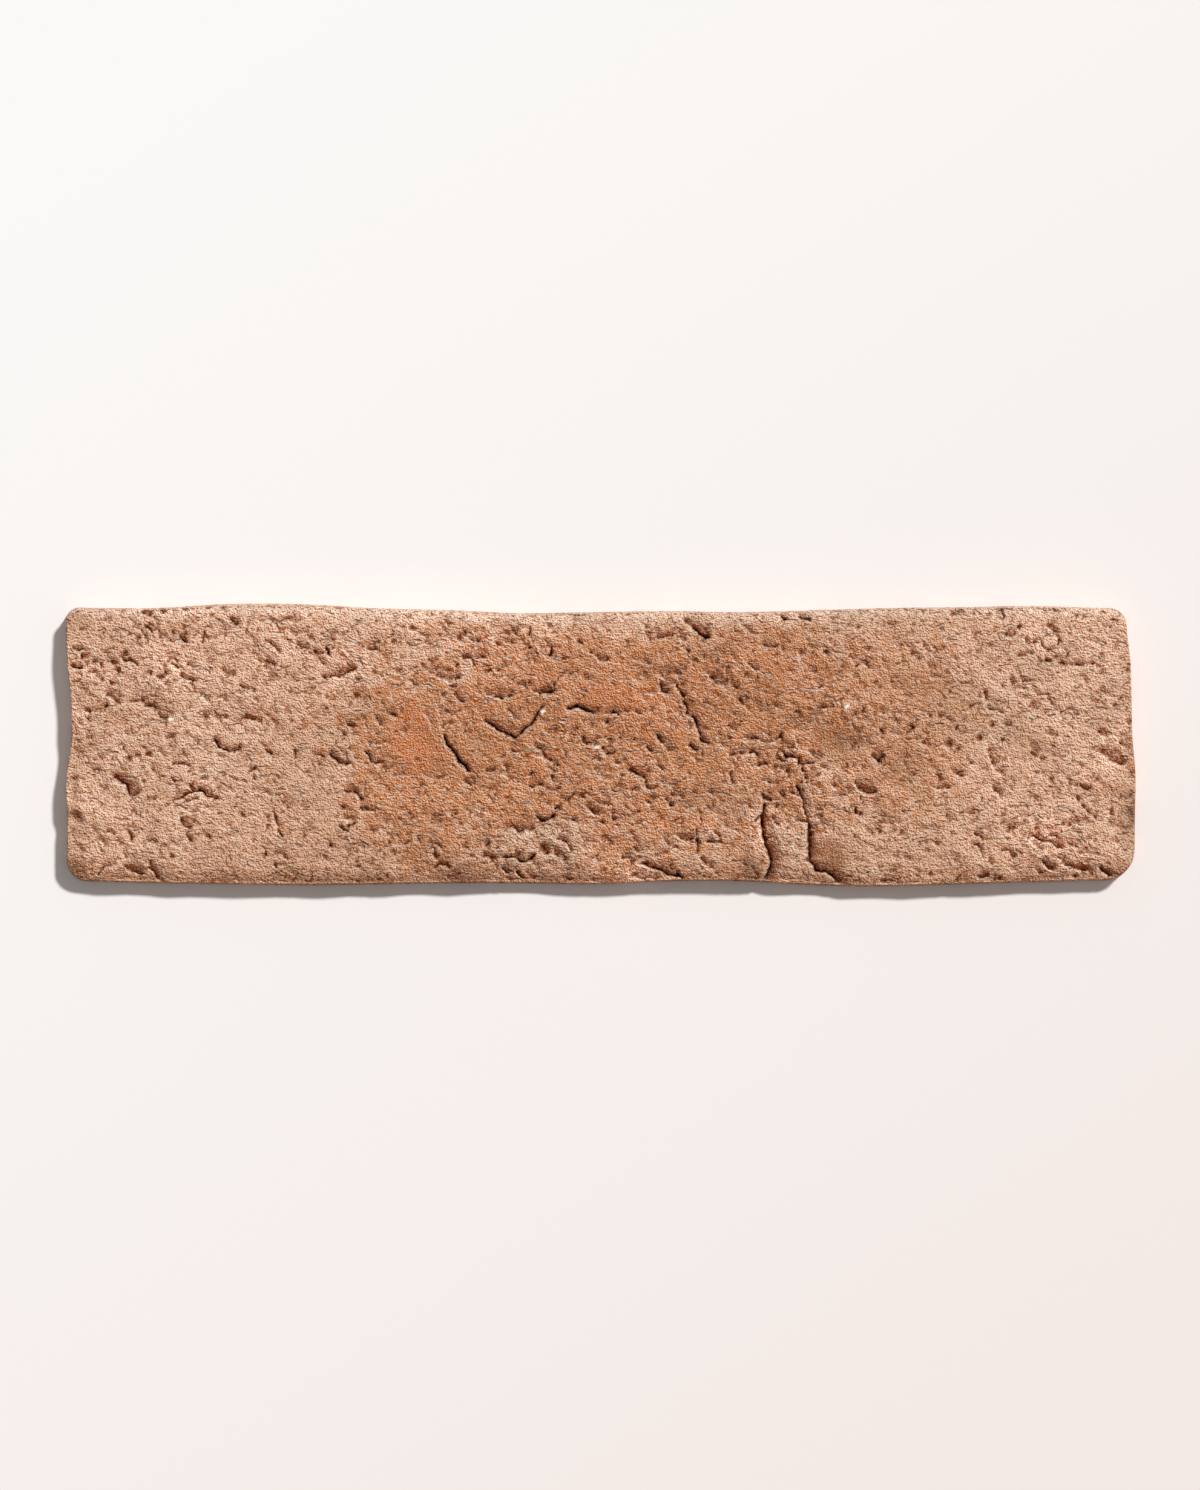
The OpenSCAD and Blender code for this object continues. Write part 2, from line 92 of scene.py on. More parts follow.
# %% Read the widest ring
body = bmesh.new()
body.from_mesh(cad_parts["tile"].data)
bmesh.ops.remove_doubles(body, verts=body.verts, dist=0.001 * MM)
body.verts.ensure_lookup_table()
foot_level = max(body.verts, key=lambda v: v.co.x).co.z
knots = [v.co.xy / MM for v in body.verts if abs(v.co.z - foot_level) < 0.01 * MM]
knots.sort(key=lambda p: math.atan2(p.y / HALF_WIDTH, p.x / HALF_LENGTH))
knots = np.array(knots)
print("foot level", round(foot_level / MM, 2), "mm, ring of", len(knots), "points")

# %% Smooth it
FINE = 24  # short steps between two points of the ring


def through_points(points):
    """A closed smooth curve through the points (Catmull-Rom)."""
    before, after, beyond = (np.roll(points, -k, axis=0) for k in (-1, 1, 2))
    curve = []
    for t in np.arange(FINE) / FINE:
        curve.append(points + 0.5 * t * (after - before + t * (
            2 * before - 5 * points + 4 * after - beyond
            + t * (3 * (points - after) + beyond - before))))
    return np.stack(curve, axis=1).reshape(-1, 2)


widest = np.array((HALF_LENGTH, HALF_WIDTH))
edge_curve = through_points(knots).clip(-widest, widest)
edge_steps = np.linalg.norm(edge_curve - np.roll(edge_curve, 1, axis=0), axis=1)
print("outline length", round(edge_steps.sum(), 1), "mm")

# %% Cut it into four sides of equal steps
COLUMNS = 560  # half a millimetre a step, near the 200,000 triangles a piece may have
ROWS = 148


def side_between(first, last, steps):
    """Equal steps along the outline from one place on it to the next."""
    count = (last - first) % len(edge_curve)
    part = edge_curve[(first + np.arange(count + 1)) % len(edge_curve)]
    walked = np.append(0, np.cumsum(np.linalg.norm(np.diff(part, axis=0), axis=1)))
    even = np.linspace(0, walked[-1], steps + 1)
    return np.stack([np.interp(even, walked, part[:, k]) for k in (0, 1)], axis=1)


def corner_at(x_sign, y_sign):
    """The place on the outline that reaches furthest towards one corner."""
    reach = x_sign * edge_curve[:, 0] / HALF_LENGTH + y_sign * edge_curve[:, 1] / HALF_WIDTH
    return int(np.argmax(reach))


corners = [corner_at(*signs) for signs in ((-1, -1), (1, -1), (1, 1), (-1, 1))]
sides = [side_between(corners[k], corners[(k + 1) % 4], (COLUMNS, ROWS)[k % 2])
         for k in range(4)]
ring = np.concatenate([side[:-1] for side in sides])
ROUND = len(ring)
ring_out = np.roll(ring, -3, 0) - np.roll(ring, 3, 0)
ring_out = np.stack([ring_out[:, 1], -ring_out[:, 0]], axis=1)
ring_out /= np.linalg.norm(ring_out, axis=1)[:, None]
print("points round the tile:", ROUND)

# %% [markdown]
# ## The face's grid
#
# The face needs small even cells, because its folds are 2 to 3 mm wide. A grid is made
# on a unit square and laid over the outline: a Coons patch mixes the four sides so that
# the rows and columns follow the wandering edge and meet it exactly. The grid's outer
# line is the top of the side wall, which leans in a little as a pressed wall does.

# %% Lay the grid over the outline
WALL_LEAN = 0.5  # mm, from the foot to the arris

top_ring = ring - WALL_LEAN * ring_out
front = top_ring[:COLUMNS + 1]
right = top_ring[COLUMNS:COLUMNS + ROWS + 1]
back = top_ring[COLUMNS + ROWS:2 * COLUMNS + ROWS + 1][::-1]
left = np.roll(top_ring, -1, 0)[2 * COLUMNS + ROWS - 1:][::-1]
u = np.linspace(0, 1, COLUMNS + 1)[None, :, None]
v = np.linspace(0, 1, ROWS + 1)[:, None, None]
plan = (1 - v) * front[None] + v * back[None] + (1 - u) * left[:, None] + u * right[:, None]
for share, corner in ((1 - u, 0), (u, -1)):  # each corner has been counted twice
    plan -= share * ((1 - v) * front[corner] + v * back[corner])
x, y = plan[..., 0], plan[..., 1]
print("cell:", round(2 * HALF_LENGTH / COLUMNS, 3), "x", round(2 * HALF_WIDTH / ROWS, 3), "mm")

# %% Drop the grid on the CAD body
CAST_INSET = 0.3  # mm, keeps the outermost rays off the side wall

tree = BVHTree.FromBMesh(body)
shrink = (1 - CAST_INSET / HALF_LENGTH, 1 - CAST_INSET / HALF_WIDTH)


def body_height(px, py):
    """How high the CAD's face lies at a place, found by a ray from 1 metre above it."""
    start = Vector((px * shrink[0] * MM, py * shrink[1] * MM, 1))
    return tree.ray_cast(start, Vector((0, 0, -1)))[0].z / MM


cad_face = np.array([body_height(px, py) for px, py in plan.reshape(-1, 2)])
cad_face = cad_face.reshape(x.shape)
print("face height from", round(cad_face.min(), 2), "to", round(cad_face.max(), 2), "mm")

# %% [markdown]
# ## Softening the CAD's facets
#
# The CAD's face is made of flat facets 4 mm wide, and its cracks have flat sides. Laid on
# the fine grid they would show as creases. So the cracks are filled for now, to be cut
# again with torn edges, and the heights are averaged with their neighbours, lightly at
# the arris and more in the middle of the face.

# %% Two ways to read a point's neighbours
CELL = 2 * HALF_LENGTH / COLUMNS


def soften(field, reach):
    """Averages a field over about reach mm, by repeated small averages."""
    for _ in range(max(1, round(2 * (reach / CELL) ** 2))):
        wide = np.pad(field, 1, mode="edge")
        beside = wide[:-2, 1:-1] + wide[2:, 1:-1] + wide[1:-1, :-2] + wide[1:-1, 2:]
        field = (beside + 4 * field) / 8
    return field


def spread(field, pick, steps):
    """Gives each point the highest or lowest of its neighbours, as many times as told."""
    for _ in range(steps):
        wide = np.pad(field, 1, mode="edge")
        beside = wide[:-2, 1:-1], wide[2:, 1:-1], wide[1:-1, :-2], wide[1:-1, 2:]
        field = pick([field, *beside], axis=0)
    return field


# %% Fill the cracks for now, and soften
CLOSED_WIDTH = 3.5  # mm, narrower openings are filled here and cut again below, finer
closing = round(CLOSED_WIDTH / 2 / CELL)
cad_face = spread(spread(cad_face, np.max, closing), np.min, closing)
rows_in = np.minimum(np.arange(ROWS + 1), ROWS - np.arange(ROWS + 1))[:, None]
columns_in = np.minimum(np.arange(COLUMNS + 1), COLUMNS - np.arange(COLUMNS + 1))[None, :]
from_rim = np.minimum(rows_in, columns_in) * CELL
inside = smooth_step(3, 7, from_rim)
face = (1 - inside) * soften(cad_face, 0.9) + inside * soften(cad_face, 1.4)
print("softened by up to", round(np.abs(face - cad_face).max(), 2), "mm")

# %% [markdown]
# ## The skin of folded clay
#
# When a lump of clay is thrown into a sanded mould, its surface folds into clods 2 to
# 4 mm across, with creases between them that mostly run along the mould. It could be a
# displacement map, but here each fold is a sum of Blender's own noises at every grid
# point, so the shape can be read and changed. Each layer is a depth in mm. Clods are the
# cells of a Voronoi noise. A lap is a sheet of clay pushed over the next one, and it is
# made by cutting a smooth noise into steps, each deepest just past its edge.

# %% Noise on the face


def noise_at(size, seed, stretch=1.0, turn=0.0, octaves=1, shift=None):
    """Perlin noise, about -1 to 1. Its blobs are size mm wide and stretch times as long."""
    c, s = math.cos(math.radians(turn)), math.sin(math.radians(turn))
    along, across = (x * c + y * s) / (size * stretch), (y * c - x * s) / size
    if shift is not None:
        along, across = along + shift[0], across + shift[1]
    points = zip(along.ravel(), across.ravel())
    layer = [noise.fractal((a, b, seed), 1.0, 2.0, octaves) for a, b in points]
    return np.array(layer).reshape(x.shape)


def cells_at(size, seed, stretch=1.0, turn=0.0, wobble=0.0):
    """Distances to the nearest and second nearest clod's middle, in clods."""
    c, s = math.cos(math.radians(turn)), math.sin(math.radians(turn))
    along = (x * c + y * s) / (size * stretch) + wobble * noise_at(size * 0.9, seed + 5)
    across = (y * c - x * s) / size + wobble * noise_at(size * 0.9, seed + 9)
    near = [noise.voronoi((a, b, seed))[0][:2] for a, b in zip(along.ravel(), across.ravel())]
    near = np.array(near)
    return near[:, 0].reshape(x.shape), near[:, 1].reshape(x.shape)


def sag(size, seed, across):
    """A slow bend of the pattern, so that its lines curve."""
    return across * noise_at(size, seed), across * noise_at(size, seed + 4)


swell = noise_at(6, 3.1, stretch=1.4, turn=-15, octaves=2)
print("swell from", round(swell.min(), 2), "to", round(swell.max(), 2))

# %% Clods and folds
GRAIN_TURN = -16  # degrees, the way the clay was dragged along the mould
CLOD = 2.6  # mm across

clod_near, clod_next = cells_at(CLOD, 7.3, stretch=1.35, turn=GRAIN_TURN, wobble=0.6)
clod_border = (clod_next - clod_near) * CLOD / 2
clod_open = smooth_step(-0.1, 0.3, noise_at(3.6, 33.3, octaves=2))
lap = noise_at(7.5, 44.1, stretch=1.5, turn=GRAIN_TURN, octaves=3,
               shift=sag(9, 45.7, 0.5))
lap_open = smooth_step(-0.25, 0.25, noise_at(5.5, 47.1, octaves=2))
short_lap = noise_at(4.2, 48.3, stretch=1.5, turn=GRAIN_TURN - 10, octaves=3,
                     shift=sag(6, 49.9, 0.5))
short_open = smooth_step(-0.1, 0.3, noise_at(3.8, 53.1, octaves=2))
fold = noise_at(2.9, 51.2, stretch=1.5, turn=GRAIN_TURN, octaves=2,
                shift=sag(6, 52.7, 0.7))
fold_open = smooth_step(-0.25, 0.3, noise_at(4.2, 67.1, octaves=2))
small_fold = noise_at(1.5, 61.4, stretch=1.3, turn=GRAIN_TURN + 8, octaves=2,
                      shift=sag(3, 62.7, 0.6))
open_share = ((clod_border < 0.3) * clod_open).mean()
print("share of the face in open creases:", round(float(open_share), 3))

# %% [markdown]
# ## How rough the skin is, place by place
#
# The middle of this tile is more broken than its ends, and there are smooth patches
# where the clay was wiped. Painting them by hand in Sculpt or Weight Paint would work as
# well, but a list can be read and moved. Each patch is an oval with its middle, its two
# radii in mm, a turn and a strength. Further down, more such ovals place the colours.

# %% Soft, ragged ovals


def oval_away(dx, dy, along, across, turn=0.0):
    """How far dx, dy lies from an oval's middle, counted in its radii, so 1 at its rim."""
    c, s = math.cos(math.radians(turn)), math.sin(math.radians(turn))
    return np.hypot((dx * c + dy * s) / along, (dy * c - dx * s) / across)


def ovals(patches, ragged=0.35):
    """The strongest of some ovals: (x, y, radius along, radius across, turn, strength)."""
    field = np.zeros_like(x)
    torn = ragged * noise_at(4.5, 63.7, octaves=3)
    for px, py, along, across, turn, strength in patches:
        away = oval_away(x - px, y - py, along, across, turn) + torn
        field = np.maximum(field, strength * smooth_step(1.15, 0.75, away))
    return field


# %% Where the clay was wiped and where it broke
WIPED = [
    (-48.5, 1.5, 6.5, 9, 0, 0.8), (-16.7, -5.9, 3, 4.5, -20, 0.9), (6, 12.5, 10, 4, 5, 0.6),
    (59.5, -29, 5.5, 6.5, -20, 0.9), (-88, 36, 12, 2, 0, 0.5), (-41, -33, 6, 3.5, 0, 0.6),
    (-26, -3, 5, 4, 30, 0.5), (-64.5, -9, 3.5, 4, 0, 0.6), (100, -6, 16, 7, 10, 0.35),
]
BROKEN = [
    (-2, -10, 26, 14, -15, 0.9), (-17, -27, 18, 7, 0, 1.0), (50, -12, 16, 14, 0, 0.9),
    (38, 14, 26, 12, -10, 0.6), (-28, 20, 26, 10, 0, 0.6), (-118, 22, 18, 11, 0, 0.7),
    (112, 24, 16, 10, 0, 0.6), (118, -24, 16, 10, 0, 0.6), (-70, 24, 14, 9, 0, 0.6),
    (12, -28, 16, 8, 0, 0.6), (76, 6, 14, 12, 0, 0.5), (-103, -17, 12, 9, 0, 0.5),
]
wiped = ovals(WIPED)
broken = ovals(BROKEN)
rough = np.clip(0.62 + 0.45 * broken - 0.55 * wiped, 0.15, 1.2)
print("roughness from", round(rough.min(), 2), "to", round(rough.max(), 2))

# %% [markdown]
# ## Cracks, clefts and pits
#
# These can't be left to noise, because they give this tile its face. Each crack is a
# line of a few points with a width and a depth in mm. The line is looked up through a
# wobble, so that it wanders as clay tears. Short creases fill the clay between them, and
# they may lie anywhere, so chance places them, from a fixed seed. Pits and lumps are
# ovals with a depth, and a lump's depth is negative.

# %% Cracks
CRACKS = [
    # width, depth, how far the ground on the left of the walk sinks to it, and its points
    # near the middle
    (0.4, 1.6, 0.45, [(-31, 5.2), (-30.2, 6.2), (-28.5, 5), (-26.5, 3.7), (-25, 2.9),
                      (-23.6, 2.6), (-22.6, 1.7), (-20.5, 3.2), (-19.8, 4.4), (-18.5, 5),
                      (-17.2, 7), (-16, 8.7), (-15.4, 9.8), (-14.2, 10.4)]),
    (0.3, 0.8, 0.6, [(-30.8, 12.8), (-28.5, 13), (-26.8, 12.7), (-26, 11.9), (-24.5, 12.4),
                     (-22.5, 12.9)]),
    (0.5, 1.3, 0.7, [(-16, 13.4), (-14.4, 13.9), (-12.3, 13.6)]),
    (0.3, 0.9, 0, [(-12.2, 13.8), (-12.1, 15.3), (-11.9, 16.4)]),
    (0.25, 0.8, 0, [(-11.5, 16.5), (-10.8, 17.8), (-10, 18.3), (-8.3, 19.8), (-7.5, 20.2),
                    (-7, 21.5)]),
    (0.45, 1.2, 0, [(-13.3, 23.2), (-13, 24.7), (-12.7, 25.6)]),
    (0.3, 0.8, 0.2, [(-6.2, 28), (-5.8, 27), (-4.8, 26.3)]),
    (0.45, 1.7, 0.4, [(-9, 9.6), (-8, 9.2), (-7, 10.1), (-5.5, 9.7), (-3.5, 8.8), (-1.6, 8.1),
                      (-0.2, 8.2)]),
    (0.35, 1.2, 0.25, [(0.3, 8.5), (2.5, 8.2), (3.3, 8.4), (5.3, 7.9)]),
    (0.25, 0.7, 0.2, [(5.3, 8.5), (8, 8.8), (10.5, 8.3), (12.4, 8.9)]),
    (0.25, 0.7, 0.2, [(-1.2, 9.9), (-0.8, 9), (-0.2, 8.3)]),
    (0.42, 1.9, 0.1, [(-41, 3), (-40.4, 1.5), (-39.8, 0), (-39, -1), (-38, -2.3), (-37, -4.2),
                      (-35.9, -4.9), (-35.2, -5.3), (-34.8, -6.6), (-34, -7.1)]),
    (0.25, 0.7, 0, [(-41, 5.2), (-40.7, 4.2)]),
    (0.45, 1.0, 0.5, [(-30.3, -6.8), (-28.6, -7), (-27.2, -6.4)]),
    (0.25, 0.6, 0.3, [(-42.5, 9.1), (-40.2, 9), (-39.2, 8.3), (-38.4, 7.8)]),
    (0.25, 0.6, 0, [(-42, 8.2), (-41.2, 7.2)]),
    (0.3, 0.4, 0.8, [(-43.5, 18.5), (-42, 17.5), (-40, 16.9), (-38, 17.2), (-36.5, 17.4)]),
    (0.2, 0.5, 0.3, [(-47, 20.4), (-45, 19.8), (-44.6, 18.8), (-43.5, 19.2), (-42, 19.9)]),
    (0.3, 0.6, 0.4, [(-36.2, 23.4), (-35.6, 22.4), (-33, 22.7), (-31.8, 22.6), (-31, 23.2),
                     (-29.8, 22.9)]),
    (0.28, 0.7, 0.2, [(-38.7, 13.3), (-37.5, 12.8), (-37, 11.7), (-36.5, 11.2), (-35.6, 11.3)]),
    (0.28, 0.6, 0, [(-39.8, 11.8), (-39, 11), (-38, 11)]),
    (0.3, 0.6, 0.3, [(-44.8, -8.4), (-43.5, -8.9), (-41, -8.5)]),
    (0.35, 0.9, 0.3, [(-35.6, -8.8), (-35, -9.9), (-33.6, -10.5)]),
    (0.3, 0.5, 0.3, [(-26.8, -3.6), (-24.8, -2.5)]),
    (0.3, 0.5, 0.7, [(-17.8, 0), (-16, -0.9), (-15, -2.7), (-13.5, -4.2), (-12.4, -5.3)]),
    (0.35, 0.8, 0.4, [(-12.3, -5.2), (-10.7, -5.3)]),
    (0.35, 0.8, 0.4, [(-19.2, -10.6), (-18, -11.2), (-15, -10.2)]),
    (0.3, 0.6, 0.3, [(-14.6, -10.8), (-13.7, -12), (-12, -12), (-10.3, -11.4)]),
    (0.4, 1.1, 0.2, [(-9.8, -14.8), (-8.3, -14), (-7.2, -12.9), (-6.7, -12.2)]),
    (0.5, 1.4, 0.3, [(-17, -18.4), (-16.2, -19.1), (-15.4, -19.8), (-14, -19.7), (-12.8, -18.8),
                     (-12, -18)]),
    (0.5, 1.6, 0, [(-11.9, -16.8), (-10.1, -15.3)]),
    (0.3, 0.5, 0.2, [(-32, -15.6), (-30.2, -17.4), (-28.6, -17.2)]),
    (0.45, 1.0, 0.4, [(14.2, 2.7), (15.2, 1.6), (16.4, 0.4)]),
    (0.3, 0.7, 0.3, [(11.8, -0.2), (12.5, -1), (13.7, -1.6)]),
    (0.4, 0.9, 0.4, [(22.8, 0.2), (24, -0.9), (25.2, -1.5)]),
    (0.3, 0.6, 0.2, [(16.4, -0.1), (18, -1.4), (19.8, -1.6)]),
    (0.45, 1.4, 0.3, [(19.8, 15.8), (20.4, 14.5), (21.3, 13), (22.2, 12.7)]),
    (0.5, 1.5, 0.3, [(21.4, 12), (22, 10.8), (22.5, 9.5), (22.4, 8.2), (23.3, 7.5), (24.3, 7),
                     (24.9, 5.7), (25.3, 4.3), (25.9, 3), (26, 1.4), (27.3, 0.8), (28.6, 0.2)]),
    (0.4, 1.0, 0.5, [(15.4, 16), (16, 14.2), (17.8, 12.9)]),
    (0.25, 0.4, 0.6, [(14.5, 18.9), (16, 18.1), (18, 18.2), (20.4, 18)]),
    (0.25, 0.4, 0.4, [(14.6, 18.3), (16.3, 17.6), (17.7, 16.4), (18.6, 15)]),
    (0.4, 1.2, 0.7, [(21.3, 33), (22.3, 31.8), (23.5, 31), (24.7, 30.2), (26, 28.7), (27, 28),
                     (28.6, 28)]),
    (0.35, 0.9, 0.2, [(11.6, 29.4), (12.4, 28.2), (13, 27.5)]),
    (0.3, 0.6, 0.5, [(14.3, 28.1), (17, 28.2), (19.3, 28.6)]),
    (0.35, 0.7, 0.2, [(21.8, 25), (23.1, 24)]),
    (0.4, 0.7, 0.7, [(28.2, 18), (29.3, 17.4), (30.3, 16.4), (33, 15.4)]),
    (0.3, 0.6, 0.3, [(33.6, 15.3), (34.8, 15.1), (35.9, 14.7)]),
    (0.35, 0.7, 0.4, [(-1.4, 23.2), (-0.6, 22.3), (0.6, 21.8), (2.2, 22.4)]),
    (0.35, 0.7, 0.2, [(-3.1, 24.4), (-1.8, 23.8)]), (0.3, 0.6, 0.2, [(-5.9, 14.9), (-3.5, 13.9)]),
    (0.3, 0.6, 0.2, [(-6.2, 12), (-5, 12.2), (-4, 12.8)]),
    (0.35, 0.7, 0.2, [(-5.3, 2.4), (-4, 1.9)]),
    (0.35, 0.7, 0.3, [(0.6, 6.6), (1.4, 6.1), (2.3, 5.9)]),
    (0.35, 0.9, 0.3, [(36, 12.1), (36.8, 10.7), (38, 9.8)]),
    (0.3, 0.8, 0.2, [(33.4, 5.4), (34.6, 4), (35.6, 3.4)]),
    (0.3, 0.6, 0.4, [(31.7, 1.6), (32.5, 1.3), (34.1, 1.8)]),
    (0.35, 1.0, 0.3, [(37, 2.3), (38.5, 1.7), (40, 1.7), (41.5, 1.2), (43.2, 0.9), (45, 1),
                      (46.2, 1.8), (46.9, 2.6), (47.5, 3.8)]),
    (0.4, 1.0, 0, [(47.1, 2.2), (47.6, 1), (47.9, 0.3)]),
    (0.35, 0.8, 0.5, [(33.5, -3.2), (34.5, -2.6), (35.5, -2.3), (37, -2.3), (38, -2),
                      (40.2, -1.8)]),
    (0.45, 0.9, 0.2, [(14.2, -5.2), (15.3, -5.7), (16.4, -6.4)]),
    (0.4, 1.2, 0.6, [(7.4, -6.6), (8.7, -7.2), (10, -8), (11, -8.2), (11.7, -9)]),
    (0.35, 1.0, 0.2, [(11.7, -9), (11.8, -10.4), (12.4, -11.2), (13.5, -11.2), (15.3, -10.3)]),
    (0.25, 0.5, 0.2, [(8.3, -12), (10, -11.3)]),
    (0.25, 0.5, 0.3, [(16, -10), (18.5, -10.3), (20.2, -10.5)]),
    (0.35, 0.8, 0.2, [(18, -13.2), (19.3, -13.2)]),
    (0.45, 0.9, 0.3, [(17.7, -14.9), (18.1, -15.8), (19.2, -16.2)]),
    (0.35, 0.9, 0, [(6.4, -14.9), (6.8, -16.2)]), (0.4, 0.8, 0.2, [(7.9, -15.8), (9.3, -15.7)]),
    (0.4, 0.7, 0.7, [(-4.2, -15.8), (-2.8, -17), (-1.5, -17.9), (-0.6, -18.3)]),
    (0.4, 0.9, 0.2, [(-0.4, -20), (0.7, -20.4)]), (0.45, 0.9, 0.2, [(-5.5, -12.9), (-4.2, -13.7)]),
    (0.3, 0.6, 0.3, [(8.3, -26.6), (9.3, -27.5), (10.2, -27.9)]),
    (0.3, 0.5, 0.3, [(0, -24.4), (1, -25)]),
    (0.35, 0.7, 0.4, [(5.2, -29.3), (6.5, -29.5), (8.1, -29.2)]),
    # along the front edge
    (0.4, 1.2, 0.5, [(10, -31.2), (11, -30.8), (12.2, -31), (12.8, -32), (14.5, -32.4),
                     (16, -32.8), (17.5, -33.7), (19, -34), (20.5, -34.2)]),
    (0.35, 1.2, 0, [(19.7, -32.9), (20.7, -34.2), (21.6, -35.2)]),
    (0.25, 0.7, 0, [(25, -16.4), (25.4, -17.5), (25.9, -18.5), (26.1, -20), (26, -21.3)]),
    (0.25, 0.6, 0, [(25, -21.6), (25, -24.4)]),
    (0.45, 1.4, 0, [(25.1, -24.2), (25.2, -26), (25.1, -28.6)]),
    (0.4, 0.7, 0.5, [(20, -23.5), (20.6, -24.4), (22.5, -24.8), (24.8, -24.6)]),
    (0.25, 0.4, 0.4, [(16, -23.7), (17.2, -25.5), (18.3, -26.6)]),
    (0.3, 0.6, 0.3, [(29, -22.3), (30.4, -23.3), (31.3, -23.8)]),
    (0.35, 0.7, 0.3, [(27.4, -25.2), (29.5, -25.5), (31.6, -25)]),
    (0.3, 0.6, 0.3, [(27.3, -15.4), (28.3, -16.5), (29.4, -17.8)]),
    (0.4, 1.4, 0, [(40, -20.3), (41, -19), (41.8, -18.3), (42.3, -17), (42.8, -15.8),
                   (43.4, -15)]),
    (0.5, 1.1, 0.3, [(43.2, -13.9), (44.6, -14.9)]),
    (0.25, 0.5, 0.2, [(44.6, -14.6), (46.6, -14.3), (48, -13.5)]),
    (0.6, 1.5, 0.9, [(41.9, -17.6), (42, -20), (42.3, -23), (42.9, -26), (43.8, -28), (44.3, -30),
                     (44, -32), (43.2, -34), (42.3, -36)]),
    (0.35, 0.9, 0.3, [(50.5, -9.6), (51.6, -11.8), (52.7, -14), (53, -16), (53.4, -18),
                      (54.1, -20.6)]),
    (0.6, 1.4, 1.0, [(54, -20.5), (54.3, -22.5), (54.3, -25), (54.3, -28), (54.6, -30.3)]),
    (0.45, 1.3, 0.5, [(53.3, -29.8), (54.5, -30.3), (55.7, -31.6), (56, -32.8), (57.3, -33.2),
                      (58.5, -33), (59.7, -33.7), (61, -34.7), (62, -36)]),
    (0.35, 0.8, 0.3, [(50.3, -20.3), (51.5, -19.8), (53, -20), (54, -20.5)]),
    (0.3, 0.7, 0.2, [(50.4, -9.8), (52.7, -9.6)]),
    (0.45, 1.4, 0.3, [(46.9, -1), (47.8, -2.5), (49, -3.1), (50.3, -3), (51.5, -3.3),
                      (51.7, -4.6), (53, -4.9), (55, -4.9), (56.6, -4.2)]),
    (0.35, 1.0, 0, [(45, -4.7), (45.4, -4.1), (47, -3.2)]),
    (0.35, 0.9, 0.3, [(52.2, -5.6), (53, -7.3), (54.1, -8.8)]),
    (0.3, 0.8, 0.7, [(66.1, -9.6), (66.8, -10.8), (68, -11.7), (69.5, -12.4), (70.8, -12.4),
                     (72.2, -12)]),
    (0.28, 0.8, 0, [(67.7, -13.2), (68.2, -15.4)]),
    (0.35, 0.9, 0.2, [(66.4, -16.2), (66.3, -17.5), (66.9, -18.3), (68.3, -18.1)]),
    (0.25, 0.5, 0.3, [(63.7, -10.9), (64.9, -12.9)]),
    (0.35, 0.8, 0, [(59.9, -17.4), (60.6, -18.3)]),
    (0.3, 0.6, 0.7, [(70.2, -2.4), (71.3, -3.5), (72.5, -4.4), (73, -3.5), (74.1, -2.7)]),
    (0.25, 0.5, 0.3, [(70.8, -21.8), (72, -22.7), (73.2, -23.3)]),
    (0.2, 0.4, 0.2, [(73, -20.1), (75, -20.6), (78.2, -20.3)]),
    (0.3, 0.6, 0.2, [(77.9, -22.4), (78.8, -23.4)]),
    # the pale folded crust
    (0.45, 0.8, 0.5, [(-26, -23.4), (-24, -21.8), (-22, -21.7), (-21.3, -22.6), (-20, -22.3),
                      (-18, -22), (-16.7, -21.5)]),
    (0.35, 0.8, 0.4, [(-31.8, -29.8), (-30.5, -29), (-29, -29.1), (-27.5, -29.4)]),
    (0.45, 1.3, 0.4, [(-26.2, -28.9), (-24, -29.5), (-22.5, -29.2), (-21.8, -28.9), (-21.4, -30),
                      (-20.9, -30.7), (-19.5, -30.5), (-18.2, -29.8), (-16.9, -28.5)]),
    (0.35, 1.0, 0, [(-21, -30.8), (-22.3, -31.9), (-23.1, -33.1)]),
    (0.45, 1.2, 0, [(-22.1, -32.9), (-20.2, -34.9)]),
    (0.4, 0.6, 0.5, [(-11.5, -24.4), (-9.8, -25.2), (-8.6, -25.6)]),
    (0.4, 0.7, 0.4, [(-12.5, -28.3), (-10.8, -29.4), (-9, -30.2)]),
    (0.3, 0.7, 0, [(-43.6, -26.4), (-43.3, -28), (-42.8, -29.3), (-42.7, -31)]),
    (0.35, 0.9, 0.1, [(-45, -33.5), (-43.5, -32.2), (-42.6, -31.3), (-41, -31.2), (-40, -31.4),
                      (-39.2, -32.2)]),
    (0.3, 0.7, 0.2, [(-44.9, -22.9), (-43.4, -24.1)]),
    (0.3, 0.6, 0.3, [(-43.8, -25.7), (-42, -26.3), (-41.3, -27.6)]),
    (0.2, 0.3, 0.5, [(-45, -20.7), (-43.5, -20), (-41.3, -20)]),
    (0.25, 0.5, 0.5, [(-39.8, -18.2), (-37.6, -18.2)]),
    # the left end
    (0.35, 0.9, 0.3, [(-112.2, -5.1), (-111, -4.7), (-109.5, -4.7), (-108, -5.2), (-106.8, -6)]),
    (0.4, 0.9, 0, [(-107.9, -7.2), (-106.9, -6.4)]),
    (0.4, 0.8, 0, [(-110.9, -10.7), (-110.6, -12)]), (0.3, 0.6, 0, [(-112.1, -8.4), (-111, -9.7)]),
    (0.3, 0.6, 0, [(-110.1, -8.4), (-109.1, -9.6)]),
    (0.35, 1.1, 0.3, [(-112.9, -16), (-112.4, -15.2), (-111.3, -14.4), (-110, -14), (-109, -13.2),
